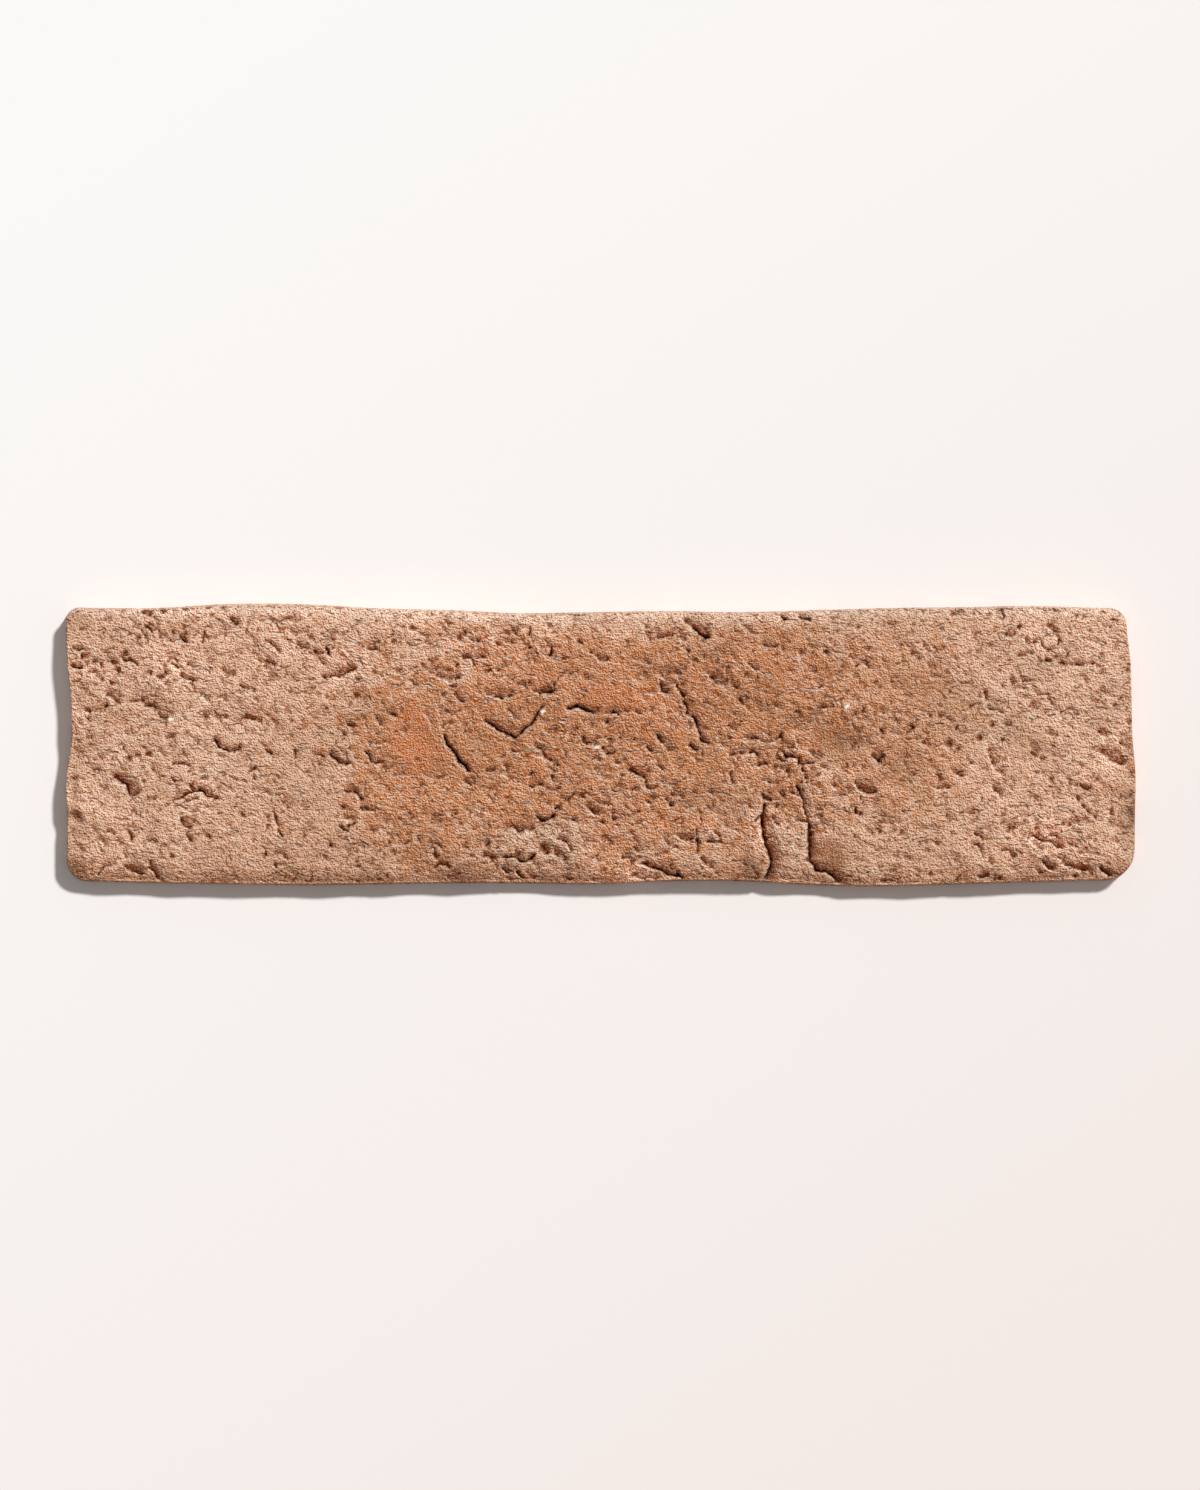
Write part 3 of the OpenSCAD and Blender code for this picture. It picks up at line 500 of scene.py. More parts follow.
                      (-107.7, -12.6), (-106, -12.3), (-104.3, -11.8), (-103.5, -12.1),
                      (-102.8, -13.2), (-101.7, -13.6), (-98.8, -14.3)]),
    (0.45, 0.9, 0.7, [(-109.8, -19.3), (-109.2, -20.5), (-108.4, -21.5), (-106.8, -22.1)]),
    (0.4, 0.8, 0.4, [(-108.5, -22.5), (-107.8, -23.8), (-106.6, -25.4)]),
    (0.3, 0.4, 0.4, [(-104.8, -22.3), (-103.5, -23.5), (-101.7, -24.7)]),
    (0.4, 0.9, 0.7, [(-127.6, -7.9), (-126, -9), (-124.5, -10), (-123.6, -10.7), (-123.3, -12.3),
                     (-122.7, -13.7), (-121.5, -13.3), (-119.9, -12.1)]),
    (0.3, 0.6, 0, [(-119.4, -9.1), (-118.9, -11.1)]),
    (0.3, 0.6, 0.2, [(-133.6, -7.1), (-132.3, -6.9), (-131.3, -6.3), (-130.7, -6.8)]),
    (0.35, 0.8, 0, [(-122.7, -22.9), (-122, -25.3)]),
    (0.3, 0.5, 0.2, [(-129.9, -23.3), (-128.7, -22.5), (-127.4, -23)]),
    (0.25, 0.5, 0.4, [(-131.7, -34.6), (-130.7, -33.2), (-130, -32.2), (-128.5, -31.5),
                      (-126.3, -31.1)]),
    (0.35, 0.6, 0.6, [(-124.4, -31.4), (-123, -32.8), (-121.7, -33.3), (-120.3, -33.8),
                      (-118.9, -33.6)]),
    (0.35, 0.6, 0.6, [(-118.1, -32.4), (-116.8, -33.2), (-115.5, -35.1)]),
    (0.4, 0.9, 0, [(-117.9, -30.2), (-117.4, -31.3)]),
    (0.3, 0.5, 0.6, [(-129.7, 13.2), (-128.5, 13), (-127.3, 12.3), (-126.4, 11.4),
                     (-125.4, 10.8)]),
    (0.25, 0.5, 0.3, [(-125, 11.2), (-123, 11.1), (-119.8, 11.2), (-119.4, 12.2)]),
    (0.35, 0.8, 0.3, [(-119.7, 10.6), (-119, 10.1), (-117, 10.3), (-116, 9.8), (-115.3, 8),
                      (-114.5, 7.2), (-112.5, 7.1)]),
    (0.3, 0.8, 0.3, [(-134.7, 8.7), (-133.5, 8.6), (-132, 8.7), (-130.7, 9.2), (-129.7, 9.9),
                     (-128.1, 10.2)]),
    (0.3, 0.8, 0.3, [(-137.9, 25.3), (-136.2, 24.8), (-134.8, 24.9)]),
    (0.35, 0.9, 0.3, [(-138.8, 20.7), (-136, 20), (-135, 20.1)]),
    (0.3, 0.6, 0.2, [(-135, 20.6), (-133.4, 21.4)]),
    (0.4, 0.8, 0.3, [(-128.4, 20.6), (-127, 21), (-125.9, 21.4)]),
    (0.35, 0.8, 0.2, [(-124.9, 22.3), (-123.9, 21.7), (-122.5, 21.9), (-121.3, 21.3),
                      (-120.6, 20.4)]),
    (0.35, 0.8, 0, [(-128.1, 28.6), (-127.8, 27.3), (-126.4, 26.6)]),
    (0.25, 0.5, 0.3, [(-132.2, 18), (-131, 17.4), (-129.6, 17.2)]),
    (0.4, 0.8, 0.3, [(-118.5, 18.8), (-117.2, 18.2)]),
    (0.4, 0.8, 0.3, [(-116.1, 17.9), (-114.7, 17.4), (-113.7, 18.1), (-112.2, 18.3)]),
    (0.35, 0.8, 0.4, [(-109.9, 18.4), (-109, 17.3), (-108, 17), (-107.3, 17.2), (-105.2, 16.5)]),
    (0.3, 0.8, 0.2, [(-119.9, 30.1), (-119.3, 28.8), (-118.5, 27.7), (-118, 26.7)]),
    (0.3, 0.7, 0.3, [(-119.2, 31.1), (-117.8, 30.3), (-116.8, 29.2)]),
    (0.4, 0.5, 0.6, [(-120, 34.8), (-118.6, 33.9), (-117.5, 33.5)]),
    (0.3, 0.6, 0.3, [(-116.9, 33.9), (-116, 32.5), (-115.2, 30.9)]),
    (0.4, 0.8, 0.7, [(-109.9, 28.6), (-109.4, 27.5), (-108.7, 26.8), (-107.8, 26.9)]),
    (0.3, 0.7, 0.2, [(-103.5, 28.4), (-102, 27.8), (-101, 27.7), (-99.7, 28.2)]),
    (0.35, 0.5, 0.7, [(-97.1, 33.1), (-95.8, 31.7), (-94.4, 31.5)]),
    (0.3, 0.5, 0.4, [(-99.1, 19.5), (-97, 18.6), (-95.2, 18.3)]),
    (0.25, 0.4, 0.5, [(-104.9, 13.8), (-104, 12.7), (-103, 11.8), (-101.7, 11.2)]),
    (0.25, 0.5, 0.3, [(-101.1, 7.8), (-100, 6.5), (-98.5, 6.9), (-97.4, 7.8)]),
    (0.25, 0.5, 0.2, [(-104, 7.4), (-101.6, 8.3)]),
    (0.3, 0.6, 0.4, [(-95.8, 5.1), (-93.5, 7), (-92, 7), (-91, 6.8), (-89.7, 6.3), (-88.3, 5.9)]),
    (0.3, 0.9, 0.3, [(-101.1, 2.1), (-100.2, 0.4), (-99.8, -0.7), (-98.7, -1.2), (-97, -1.8),
                     (-95.5, -1.3), (-93, -0.7)]),
    (0.3, 0.8, 0, [(-124.6, 0), (-124.3, -1), (-123.8, -2.1)]),
    (0.25, 0.5, 0.3, [(-114, 1.4), (-112.5, 1.9), (-111, 2)]),
    (0.45, 0.9, 0.2, [(-87.7, -1.1), (-87, -1.9), (-85.7, -2.5)]),
    (0.3, 0.6, 0, [(-89, -2.9), (-88.4, -1.7)]), (0.4, 1.1, 0, [(-80, -1.4), (-80, -3.6)]),
    (0.35, 0.8, 0.2, [(-92, -7.1), (-90.3, -6.5), (-90.1, -5.6)]),
    (0.3, 0.7, 0, [(-90.7, -7.9), (-90.1, -9.4)]),
    (0.25, 0.5, 0.2, [(-76, -2.3), (-73, -2.7), (-71.8, -3)]),
    (0.42, 1.1, 0.5, [(-71.4, -2.1), (-70.3, -3), (-68.8, -3.7), (-68, -4.8), (-66.5, -5.2),
                      (-65.3, -5)]),
    (0.4, 1.2, 0.4, [(-66.9, -12), (-65.9, -12.4), (-65, -12), (-63.8, -12.5), (-63, -13.5),
                     (-62.4, -14.8)]),
    (0.35, 0.8, 0.3, [(-62.9, -16), (-62, -16.8), (-61, -17.2), (-60, -17), (-58.6, -17.3)]),
    (0.45, 1.0, 0, [(-67.6, -15.9), (-66.8, -16.9)]),
    (0.4, 0.9, 0.2, [(-66.3, -20.9), (-64.6, -20.8), (-63.6, -20.1)]),
    (0.3, 0.8, 0.2, [(-68, -19.6), (-67, -18.8), (-65.5, -19), (-64, -19.7)]),
    (0.3, 0.7, 0.2, [(-68.4, -20.9), (-67.5, -22), (-66, -22.4)]),
    (0.28, 1.0, 0, [(-85.6, -16), (-85.2, -17.5), (-84.8, -19.2), (-84.4, -21), (-84, -22.3),
                    (-83.4, -23.5), (-82, -25)]),
    (0.3, 0.7, 0.2, [(-82.3, -22.8), (-80.7, -22.7)]),
    (0.3, 0.6, 0.2, [(-82.6, -16.6), (-81.1, -16.6)]),
    (0.4, 0.9, 0, [(-76.8, -22.1), (-76.3, -23.1)]),
    (0.4, 0.8, 0, [(-87.8, -27.9), (-87.5, -29.1)]),
    (0.35, 0.8, 0.2, [(-85.4, -31), (-84.5, -32.1)]),
    (0.45, 0.6, 0.3, [(-94.6, -17.9), (-93.5, -18.7), (-92.6, -19.1)]),
    (0.3, 0.7, 0, [(-71, -24.5), (-70.5, -26), (-70.1, -27.1)]),
    (0.45, 1.1, 0, [(-55.4, -24.6), (-55.2, -26.1)]),
    (0.4, 0.8, 0.3, [(-54.8, -27.9), (-53.4, -28.6)]),
    (0.4, 0.8, 0.2, [(-53.2, -26), (-51, -26), (-49.8, -25)]),
    (0.35, 0.7, 0.2, [(-60.4, -21.9), (-59.1, -22.7)]),
    (0.45, 0.9, 0.5, [(-59.1, 7.3), (-58, 6), (-57.1, 4.9)]),
    (0.4, 0.9, 0.2, [(-55.7, 8), (-54.3, 8), (-53.5, 7.3), (-53.1, 6.9)]),
    (0.45, 1.0, 0.2, [(-66.4, 5), (-65.3, 5), (-64.2, 4.5)]),
    (0.45, 1.0, 0, [(-67.4, 3.4), (-66.4, 2.4)]),
    (0.4, 0.9, 0.3, [(-60.7, 1.2), (-60.5, 0.6), (-58, 0.5)]),
    (0.35, 0.9, 0.2, [(-62, -1), (-61.3, -1.8), (-60.3, -2.8), (-60, -4.3), (-58.5, -4.6),
                      (-56.3, -4.3)]),
    (0.45, 0.9, 0, [(-65.8, -0.6), (-65.1, -1.8)]), (0.4, 0.8, 0, [(-61.6, -4.9), (-60.4, -4.8)]),
    (0.28, 0.7, 0.6, [(-73.1, 17.9), (-72, 17.2), (-70.3, 17.9), (-68, 17.7), (-66, 18.8),
                      (-63.8, 19.9)]),
    (0.5, 0.9, 0.3, [(-76.1, 23.7), (-74.5, 23.6), (-72.3, 23.9)]),
    (0.55, 1.3, 0, [(-72.2, 25.7), (-71.3, 24.4), (-70.5, 23.3)]),
    (0.25, 0.4, 0.5, [(-79.5, 26.4), (-78.3, 25.3), (-77, 24.7)]),
    (0.3, 0.7, 0.2, [(-86.7, 27.1), (-85.3, 26), (-84.5, 25), (-83.4, 23.9)]),
    (0.35, 0.7, 0.1, [(-89.4, 22.3), (-88.4, 21.3)]),
    (0.3, 0.6, 0.3, [(-87.6, 21.5), (-86.2, 21.6), (-85.5, 21), (-85.1, 19.9)]),
    (0.35, 0.6, 0.6, [(-86.4, 33.5), (-85.8, 31.9), (-84.8, 31.5), (-83.5, 32), (-81.5, 33.2),
                      (-80, 32), (-78.8, 31.7)]),
    (0.3, 0.6, 0.4, [(-94.8, 15.9), (-93.5, 14.8), (-91.5, 14.4), (-89.9, 14.1)]),
    # the right end
    (0.28, 0.8, 0.3, [(91.2, -6.4), (92.3, -7.2), (93.3, -7.8), (94.8, -8)]),
    (0.3, 0.5, 0.6, [(100.9, -0.8), (101.5, -3), (102, -4.7), (102.8, -5.8)]),
    (0.35, 0.9, 0, [(95.2, -2.3), (95.8, -4.4)]),
    (0.35, 0.8, 0.2, [(87.3, -11.2), (88.5, -11.4), (89.5, -11), (91.2, -11.3)]),
    (0.35, 0.8, 0, [(88.2, -7.8), (88.5, -9.8)]),
    (0.35, 0.8, 0.2, [(102.1, -10.2), (102.7, -11.5), (104, -13), (104.3, -14.2)]),
    (0.4, 0.6, 0.4, [(112, -2), (113.2, -2.9), (114, -2.7)]),
    (0.35, 0.4, 0.9, [(129.8, -1.4), (131.3, -3), (133, -4), (135, -4.7), (136.5, -4.9),
                      (137.4, -4.2)]),
    (0.35, 0.7, 0.5, [(135.2, 1), (136.3, -0.3), (137.1, -1.1)]),
    (0.4, 0.9, 0.2, [(125.2, -10.2), (125.8, -11.5), (127, -11.7), (128, -10.9)]),
    (0.4, 0.9, 0, [(123.9, -13.3), (124.8, -14.6)]),
    (0.3, 0.9, 0.1, [(125.2, -15.4), (126.5, -16.8), (127.8, -18), (129.4, -19.6)]),
    (0.45, 0.9, 0, [(132.9, -17.4), (133.8, -18.4)]),
    (0.4, 0.8, 0.6, [(110.8, -24.9), (112, -24), (113, -23.9), (115, -25), (117, -25.2),
                     (118.3, -26), (119.2, -26.9), (120.8, -27.2)]),
    (0.3, 0.7, 0.3, [(121.4, -25.4), (123, -26.2), (124.5, -26.5)]),
    (0.35, 0.6, 0.5, [(112.7, -25.6), (114, -26.8), (115.7, -27.6)]),
    (0.4, 0.8, 0.6, [(114.9, -29.8), (115.7, -31), (117, -32.3), (118.2, -33.1)]),
    (0.4, 0.7, 0.6, [(119.8, -30.7), (121.5, -31.5), (123.5, -32), (125, -32.6), (127, -32.8)]),
    (0.5, 1.0, 0.2, [(130, -31.8), (131, -33.2), (132.2, -33.9)]),
    (0.35, 0.9, 0, [(106.7, -27.7), (107.5, -28.5), (107.3, -29.8), (106.3, -30.4)]),
    (0.3, 0.7, 0.2, [(104, -27.9), (105, -27.5), (107, -27.5)]),
    (0.3, 0.6, 0.2, [(108, -27.8), (109.9, -28.8)]),
    (0.4, 0.9, 0.2, [(96.8, -25.9), (98.5, -26), (99, -26.8), (99.3, -28.3), (99.9, -29.9)]),
    (0.25, 0.6, 0.2, [(97.3, -22.9), (98.8, -23.8), (100, -25.5)]),
    (0.3, 0.5, 0.7, [(98, -34.4), (99.5, -34.6), (101.3, -34.4)]),
    (0.25, 0.7, 0, [(94, -33.6), (92.6, -35.4)]),
    (0.35, 0.8, 0, [(100.1, 14.2), (100.5, 12.5), (100.9, 11.3)]),
    (0.35, 0.7, 0.2, [(100.3, 9.5), (102, 9.2), (103.4, 9.2)]),
    (0.3, 0.6, 0.2, [(110.9, 25.8), (112.5, 26.4), (113.9, 26.8)]),
    (0.3, 0.7, 0.2, [(116.5, 31.2), (117.5, 30.2), (118.3, 29)]),
    (0.45, 1.0, 0, [(118.9, 28.9), (119.5, 27.5), (119.1, 25.7)]),
    (0.3, 0.6, 0, [(119.1, 25.7), (117.5, 24.9), (115.6, 25.2), (114.8, 26.4), (115.2, 27.9),
                   (116.6, 28.6), (118, 28.4)]),
    (0.3, 0.6, 0.2, [(121, 25.2), (121.7, 24), (121.7, 22.5), (120.9, 21.3)]),
    (0.3, 0.8, 0.3, [(122.2, 21.3), (124, 21), (126.3, 20.9)]),
    (0.5, 0.8, 0.2, [(115.4, 22), (118, 21.7)]), (0.5, 0.9, 0.2, [(119.3, 21.5), (121.2, 21.3)]),
    (0.35, 0.6, 0, [(120.1, 19.3), (121.6, 19.2)]), (0.4, 0.8, 0, [(133, 33), (135.2, 31.8)]),
    (0.4, 0.9, 0, [(91, 34.4), (92.2, 33.9), (93, 34.2), (94, 35.6)]),
    (0.4, 0.8, 0.4, [(56.2, 9.5), (57.5, 9.5), (59, 9.7), (60.8, 9.8)]),
    (0.45, 0.9, 0.2, [(53.8, 14.1), (55.2, 13.6)]), (0.3, 0.6, 0, [(55.2, 12.4), (55.8, 10.8)]),
    (0.4, 1.0, 0.3, [(66.1, 20.3), (67.5, 21.3), (69.5, 20.9), (70.6, 19.9)]),
    (0.3, 0.6, 0.3, [(64.6, 23.2), (66.5, 21.8)]),
    (0.35, 0.8, 0.5, [(51.3, 33.5), (52.3, 32.8), (53.5, 32.6), (55, 32.5)]),
    (0.4, 0.8, 0.3, [(47.1, 33.6), (48, 32.5), (49, 33)]),
    (0.35, 0.7, 0.2, [(53.6, 26.1), (54.8, 25.6), (55.8, 26)]),
    (0.4, 0.7, 0.2, [(57.8, 24.5), (59.5, 23.7)]),
    (0.45, 0.7, 0.3, [(79.3, 3.1), (80.5, 3.4), (82, 5)]),
    (0.4, 0.7, 0.3, [(72.8, 4.1), (73.9, 2.9)]),
    (0.4, 0.7, 0.2, [(42, 25.9), (45.3, 25.6), (46, 25.9)]),
    (0.3, 0.6, 0.4, [(65, 11.3), (66.3, 11.8), (67.4, 11.5)]),
    (0.3, 0.6, 0.3, [(105, 5.6), (106, 5), (107.7, 5)]),
]
print(len(CRACKS), "cracks")

# %% Finding the nearest place on a crack


def along_line(points, px, py):
    """The nearest place on a line of points: how far, which side, how far along, and where."""
    lengths = [math.dist(a, b) for a, b in zip(points, points[1:])]
    best, side, where = np.full(px.shape, 1e9), np.zeros(px.shape), np.zeros(px.shape)
    near_x, near_y, walked = np.zeros(px.shape), np.zeros(px.shape), 0
    for (ax, ay), (bx, by), length in zip(points, points[1:], lengths):
        share = np.clip(((px - ax) * (bx - ax) + (py - ay) * (by - ay)) / length ** 2, 0, 1)
        qx, qy = ax + share * (bx - ax), ay + share * (by - ay)
        away = np.hypot(px - qx, py - qy)
        nearer = away < best
        side = np.where(nearer, (bx - ax) * (py - ay) - (by - ay) * (px - ax), side)
        where = np.where(nearer, (walked + share * length) / sum(lengths), where)
        near_x, near_y = np.where(nearer, qx, near_x), np.where(nearer, qy, near_y)
        best = np.minimum(best, away)
        walked += length
    return best, np.sign(side), where, near_x, near_y


def part_near(points, reach):
    """The part of the grid that a line of points can touch, as row and column slices."""
    xs, ys = [p[0] for p in points], [p[1] for p in points]
    columns = np.flatnonzero(((x > min(xs) - reach) & (x < max(xs) + reach)).any(axis=0))
    rows = np.flatnonzero(((y > min(ys) - reach) & (y < max(ys) + reach)).any(axis=1))
    return slice(rows[0], rows[-1] + 1), slice(columns[0], columns[-1] + 1)


def crack_fade(where, points):
    """Thins a crack out at both ends, unless it runs off the tile's edge."""
    off_edge = abs(points[-1][1]) > HALF_WIDTH - 1.5
    last = 1 if off_edge else smooth_step(1.06, 0.86, where)
    return smooth_step(-0.06, 0.14, where) * last


CRACK_WOBBLE = 0.4  # mm, how far a crack wanders off its straight stretches

bend_x = CRACK_WOBBLE * noise_at(1.8, 71.1, octaves=3)
bend_y = CRACK_WOBBLE * noise_at(1.8, 77.7, octaves=3)
print("cracks wander up to", round(float(np.hypot(bend_x, bend_y).max()), 2), "mm")

# %% Small creases between them
random.seed(11)
CREASES = 1000


def anywhere():
    """A chance place on the face."""
    return random.uniform(-HALF_LENGTH, HALF_LENGTH), random.uniform(-HALF_WIDTH, HALF_WIDTH)


creases = []
while len(creases) < CREASES:
    px, py = anywhere()
    heading = math.radians(random.gauss(GRAIN_TURN - 6, 24))
    row = round((py / HALF_WIDTH + 1) / 2 * ROWS)
    column = round((px / HALF_LENGTH + 1) / 2 * COLUMNS)
    step = random.uniform(0.6, 1.5)
    size = random.uniform(0.3, 1) * (0.5 + 0.5 * broken[row, column])
    points = [(px, py)]
    for _ in range(random.randint(2, 3)):
        heading += random.gauss(0, 0.5)
        px, py = px + step * math.cos(heading), py + step * math.sin(heading)
        points.append((px, py))
    creases.append((0.25 + 0.1 * size, 0.8 * size, 0.5 * size, points))
print(len(creases), "small creases")

# %% [markdown]
# ## Sharp creases on an even grid
#
# A crease narrower than a cell would come out as a row of beads. So the grid's points
# that lie nearest to a line are slid sideways onto it, and their neighbours are drawn in
# a little towards it, like gathered cloth. The line becomes a row of edges, and the
# cells beside it are fine enough for its steep walls.

# %% Draw the grid in towards the cracks
SLIDE = 0.45 * CELL
GATHER_REACH = 1.5  # mm
GATHER = 0.5

gathered = np.full(x.shape, 9.0)
shift_x, shift_y = np.zeros_like(x), np.zeros_like(x)
for *_, points in CRACKS + creases:
    part = part_near(points, GATHER_REACH + 1)
    bent_x, bent_y = x[part] + bend_x[part], y[part] + bend_y[part]
    away, _, _, near_x, near_y = along_line(points, bent_x, bent_y)
    pull = np.where(away < SLIDE, 1, GATHER * np.clip(1 - away / GATHER_REACH, 0, 1))
    nearer = (away < gathered[part]) & (from_rim[part] > 0.7)
    shift_x[part] = np.where(nearer, pull * (near_x - bent_x), shift_x[part])
    shift_y[part] = np.where(nearer, pull * (near_y - bent_y), shift_y[part])
    gathered[part] = np.where(nearer, away, gathered[part])
x, y = x + shift_x, y + shift_y
print("points drawn onto cracks:", int((gathered < SLIDE).sum()))

# %% Cut the cracks
CRACK_REACH = 7.0  # mm, past which a crack no longer changes the face

bent_x, bent_y = x + bend_x, y + bend_y
crack_depth, sink_depth = np.zeros_like(x), np.zeros_like(x)
crack_away = np.full(x.shape, 9.0)
uneven = np.clip(0.9 + 0.9 * small_fold, 0.3, 1.3)
for width, depth, sink, points in CRACKS + creases:
    part = part_near(points, CRACK_REACH)
    away, side, where, _, _ = along_line(points, bent_x[part], bent_y[part])
    fade = crack_fade(where, points)
    groove = depth * fade * uneven[part] * np.exp(-(away / (0.55 * width)) ** 2)
    sunk = (side > 0) | (away < 0.05)
    slope = sink * fade * sunk * np.exp(-away / (0.9 + 1.5 * sink))
    crack_depth[part] = np.maximum(crack_depth[part], groove)
    sink_depth[part] = np.maximum(sink_depth[part], slope)
    crack_away[part] = np.minimum(crack_away[part], away)
print("deepest", round(crack_depth.max(), 2), "mm, share of the face near a crack",
      round(float((crack_away < 1).mean()), 3))

# %% Sliding points onto the noise's creases


def slope_of(field):
    """How a field changes per mm along x and along y."""
    down_rows, down_columns = np.gradient(field)
    return down_columns / CELL, down_rows / CELL


def slide_onto(field, allowed):
    """Moves grid points to where a field is 0, if that is near, and says which were moved."""
    across, up = slope_of(field)
    steep = across ** 2 + up ** 2 + 1e-6
    move = np.abs(field) / np.sqrt(steep)
    moved = (move < SLIDE) & allowed & (from_rim > 1.5)
    x[moved] -= (field * across / steep)[moved]
    y[moved] -= (field * up / steep)[moved]
    return moved


# %% Laps of clay
LAPS = 3.2  # laps in a noise's range


def lap_edge_of(field):
    """Counts from one lap's edge to the next, -0.5 to 0.5, with 0 at the edge."""
    return field * LAPS - np.round(field * LAPS)


def lap_depth_of(edge):
    """Deepest on the upper side of each edge, and easing back to 0 half way to the next."""
    return np.where(edge >= 0, 1 - 2 * edge, 0) ** 2


DRAG = math.radians(60)  # the way the clay was pushed, which its laps face


def facing_drag(field):
    """1 where a field rises the way the clay was pushed, and 0 where it rises the other way."""
    across, up = slope_of(field)
    along = across * math.cos(DRAG) + up * math.sin(DRAG)
    return smooth_step(0, 0.6, along / (np.hypot(across, up) + 1e-6))


# %% Slide the points
far = crack_away > 1
lap_edge, short_edge = lap_edge_of(lap), lap_edge_of(short_lap)
on_lap = slide_onto(lap_edge, far & (np.abs(lap_edge) < 0.35))
on_short = slide_onto(short_edge, far & ~on_lap & (np.abs(short_edge) < 0.35))
on_clod = slide_onto(clod_border, (clod_open > 0.2) & ~on_lap & ~on_short & far)
on_fold = slide_onto(fold, ~on_lap & ~on_short & ~on_clod & far & (clod_border > 0.8))
lap_edge = np.where(on_lap, 0, lap_edge)
short_edge = np.where(on_short, 0, short_edge)
clod_border = np.where(on_clod, 0, clod_border)
fold = np.where(on_fold, 0, fold)
lap_depth, short_depth = lap_depth_of(lap_edge), lap_depth_of(short_edge)
lap_open, short_open = lap_open * facing_drag(lap), short_open * facing_drag(short_lap)
print("points slid:", *(int(moved.sum()) for moved in (on_lap, on_short, on_clod, on_fold)))

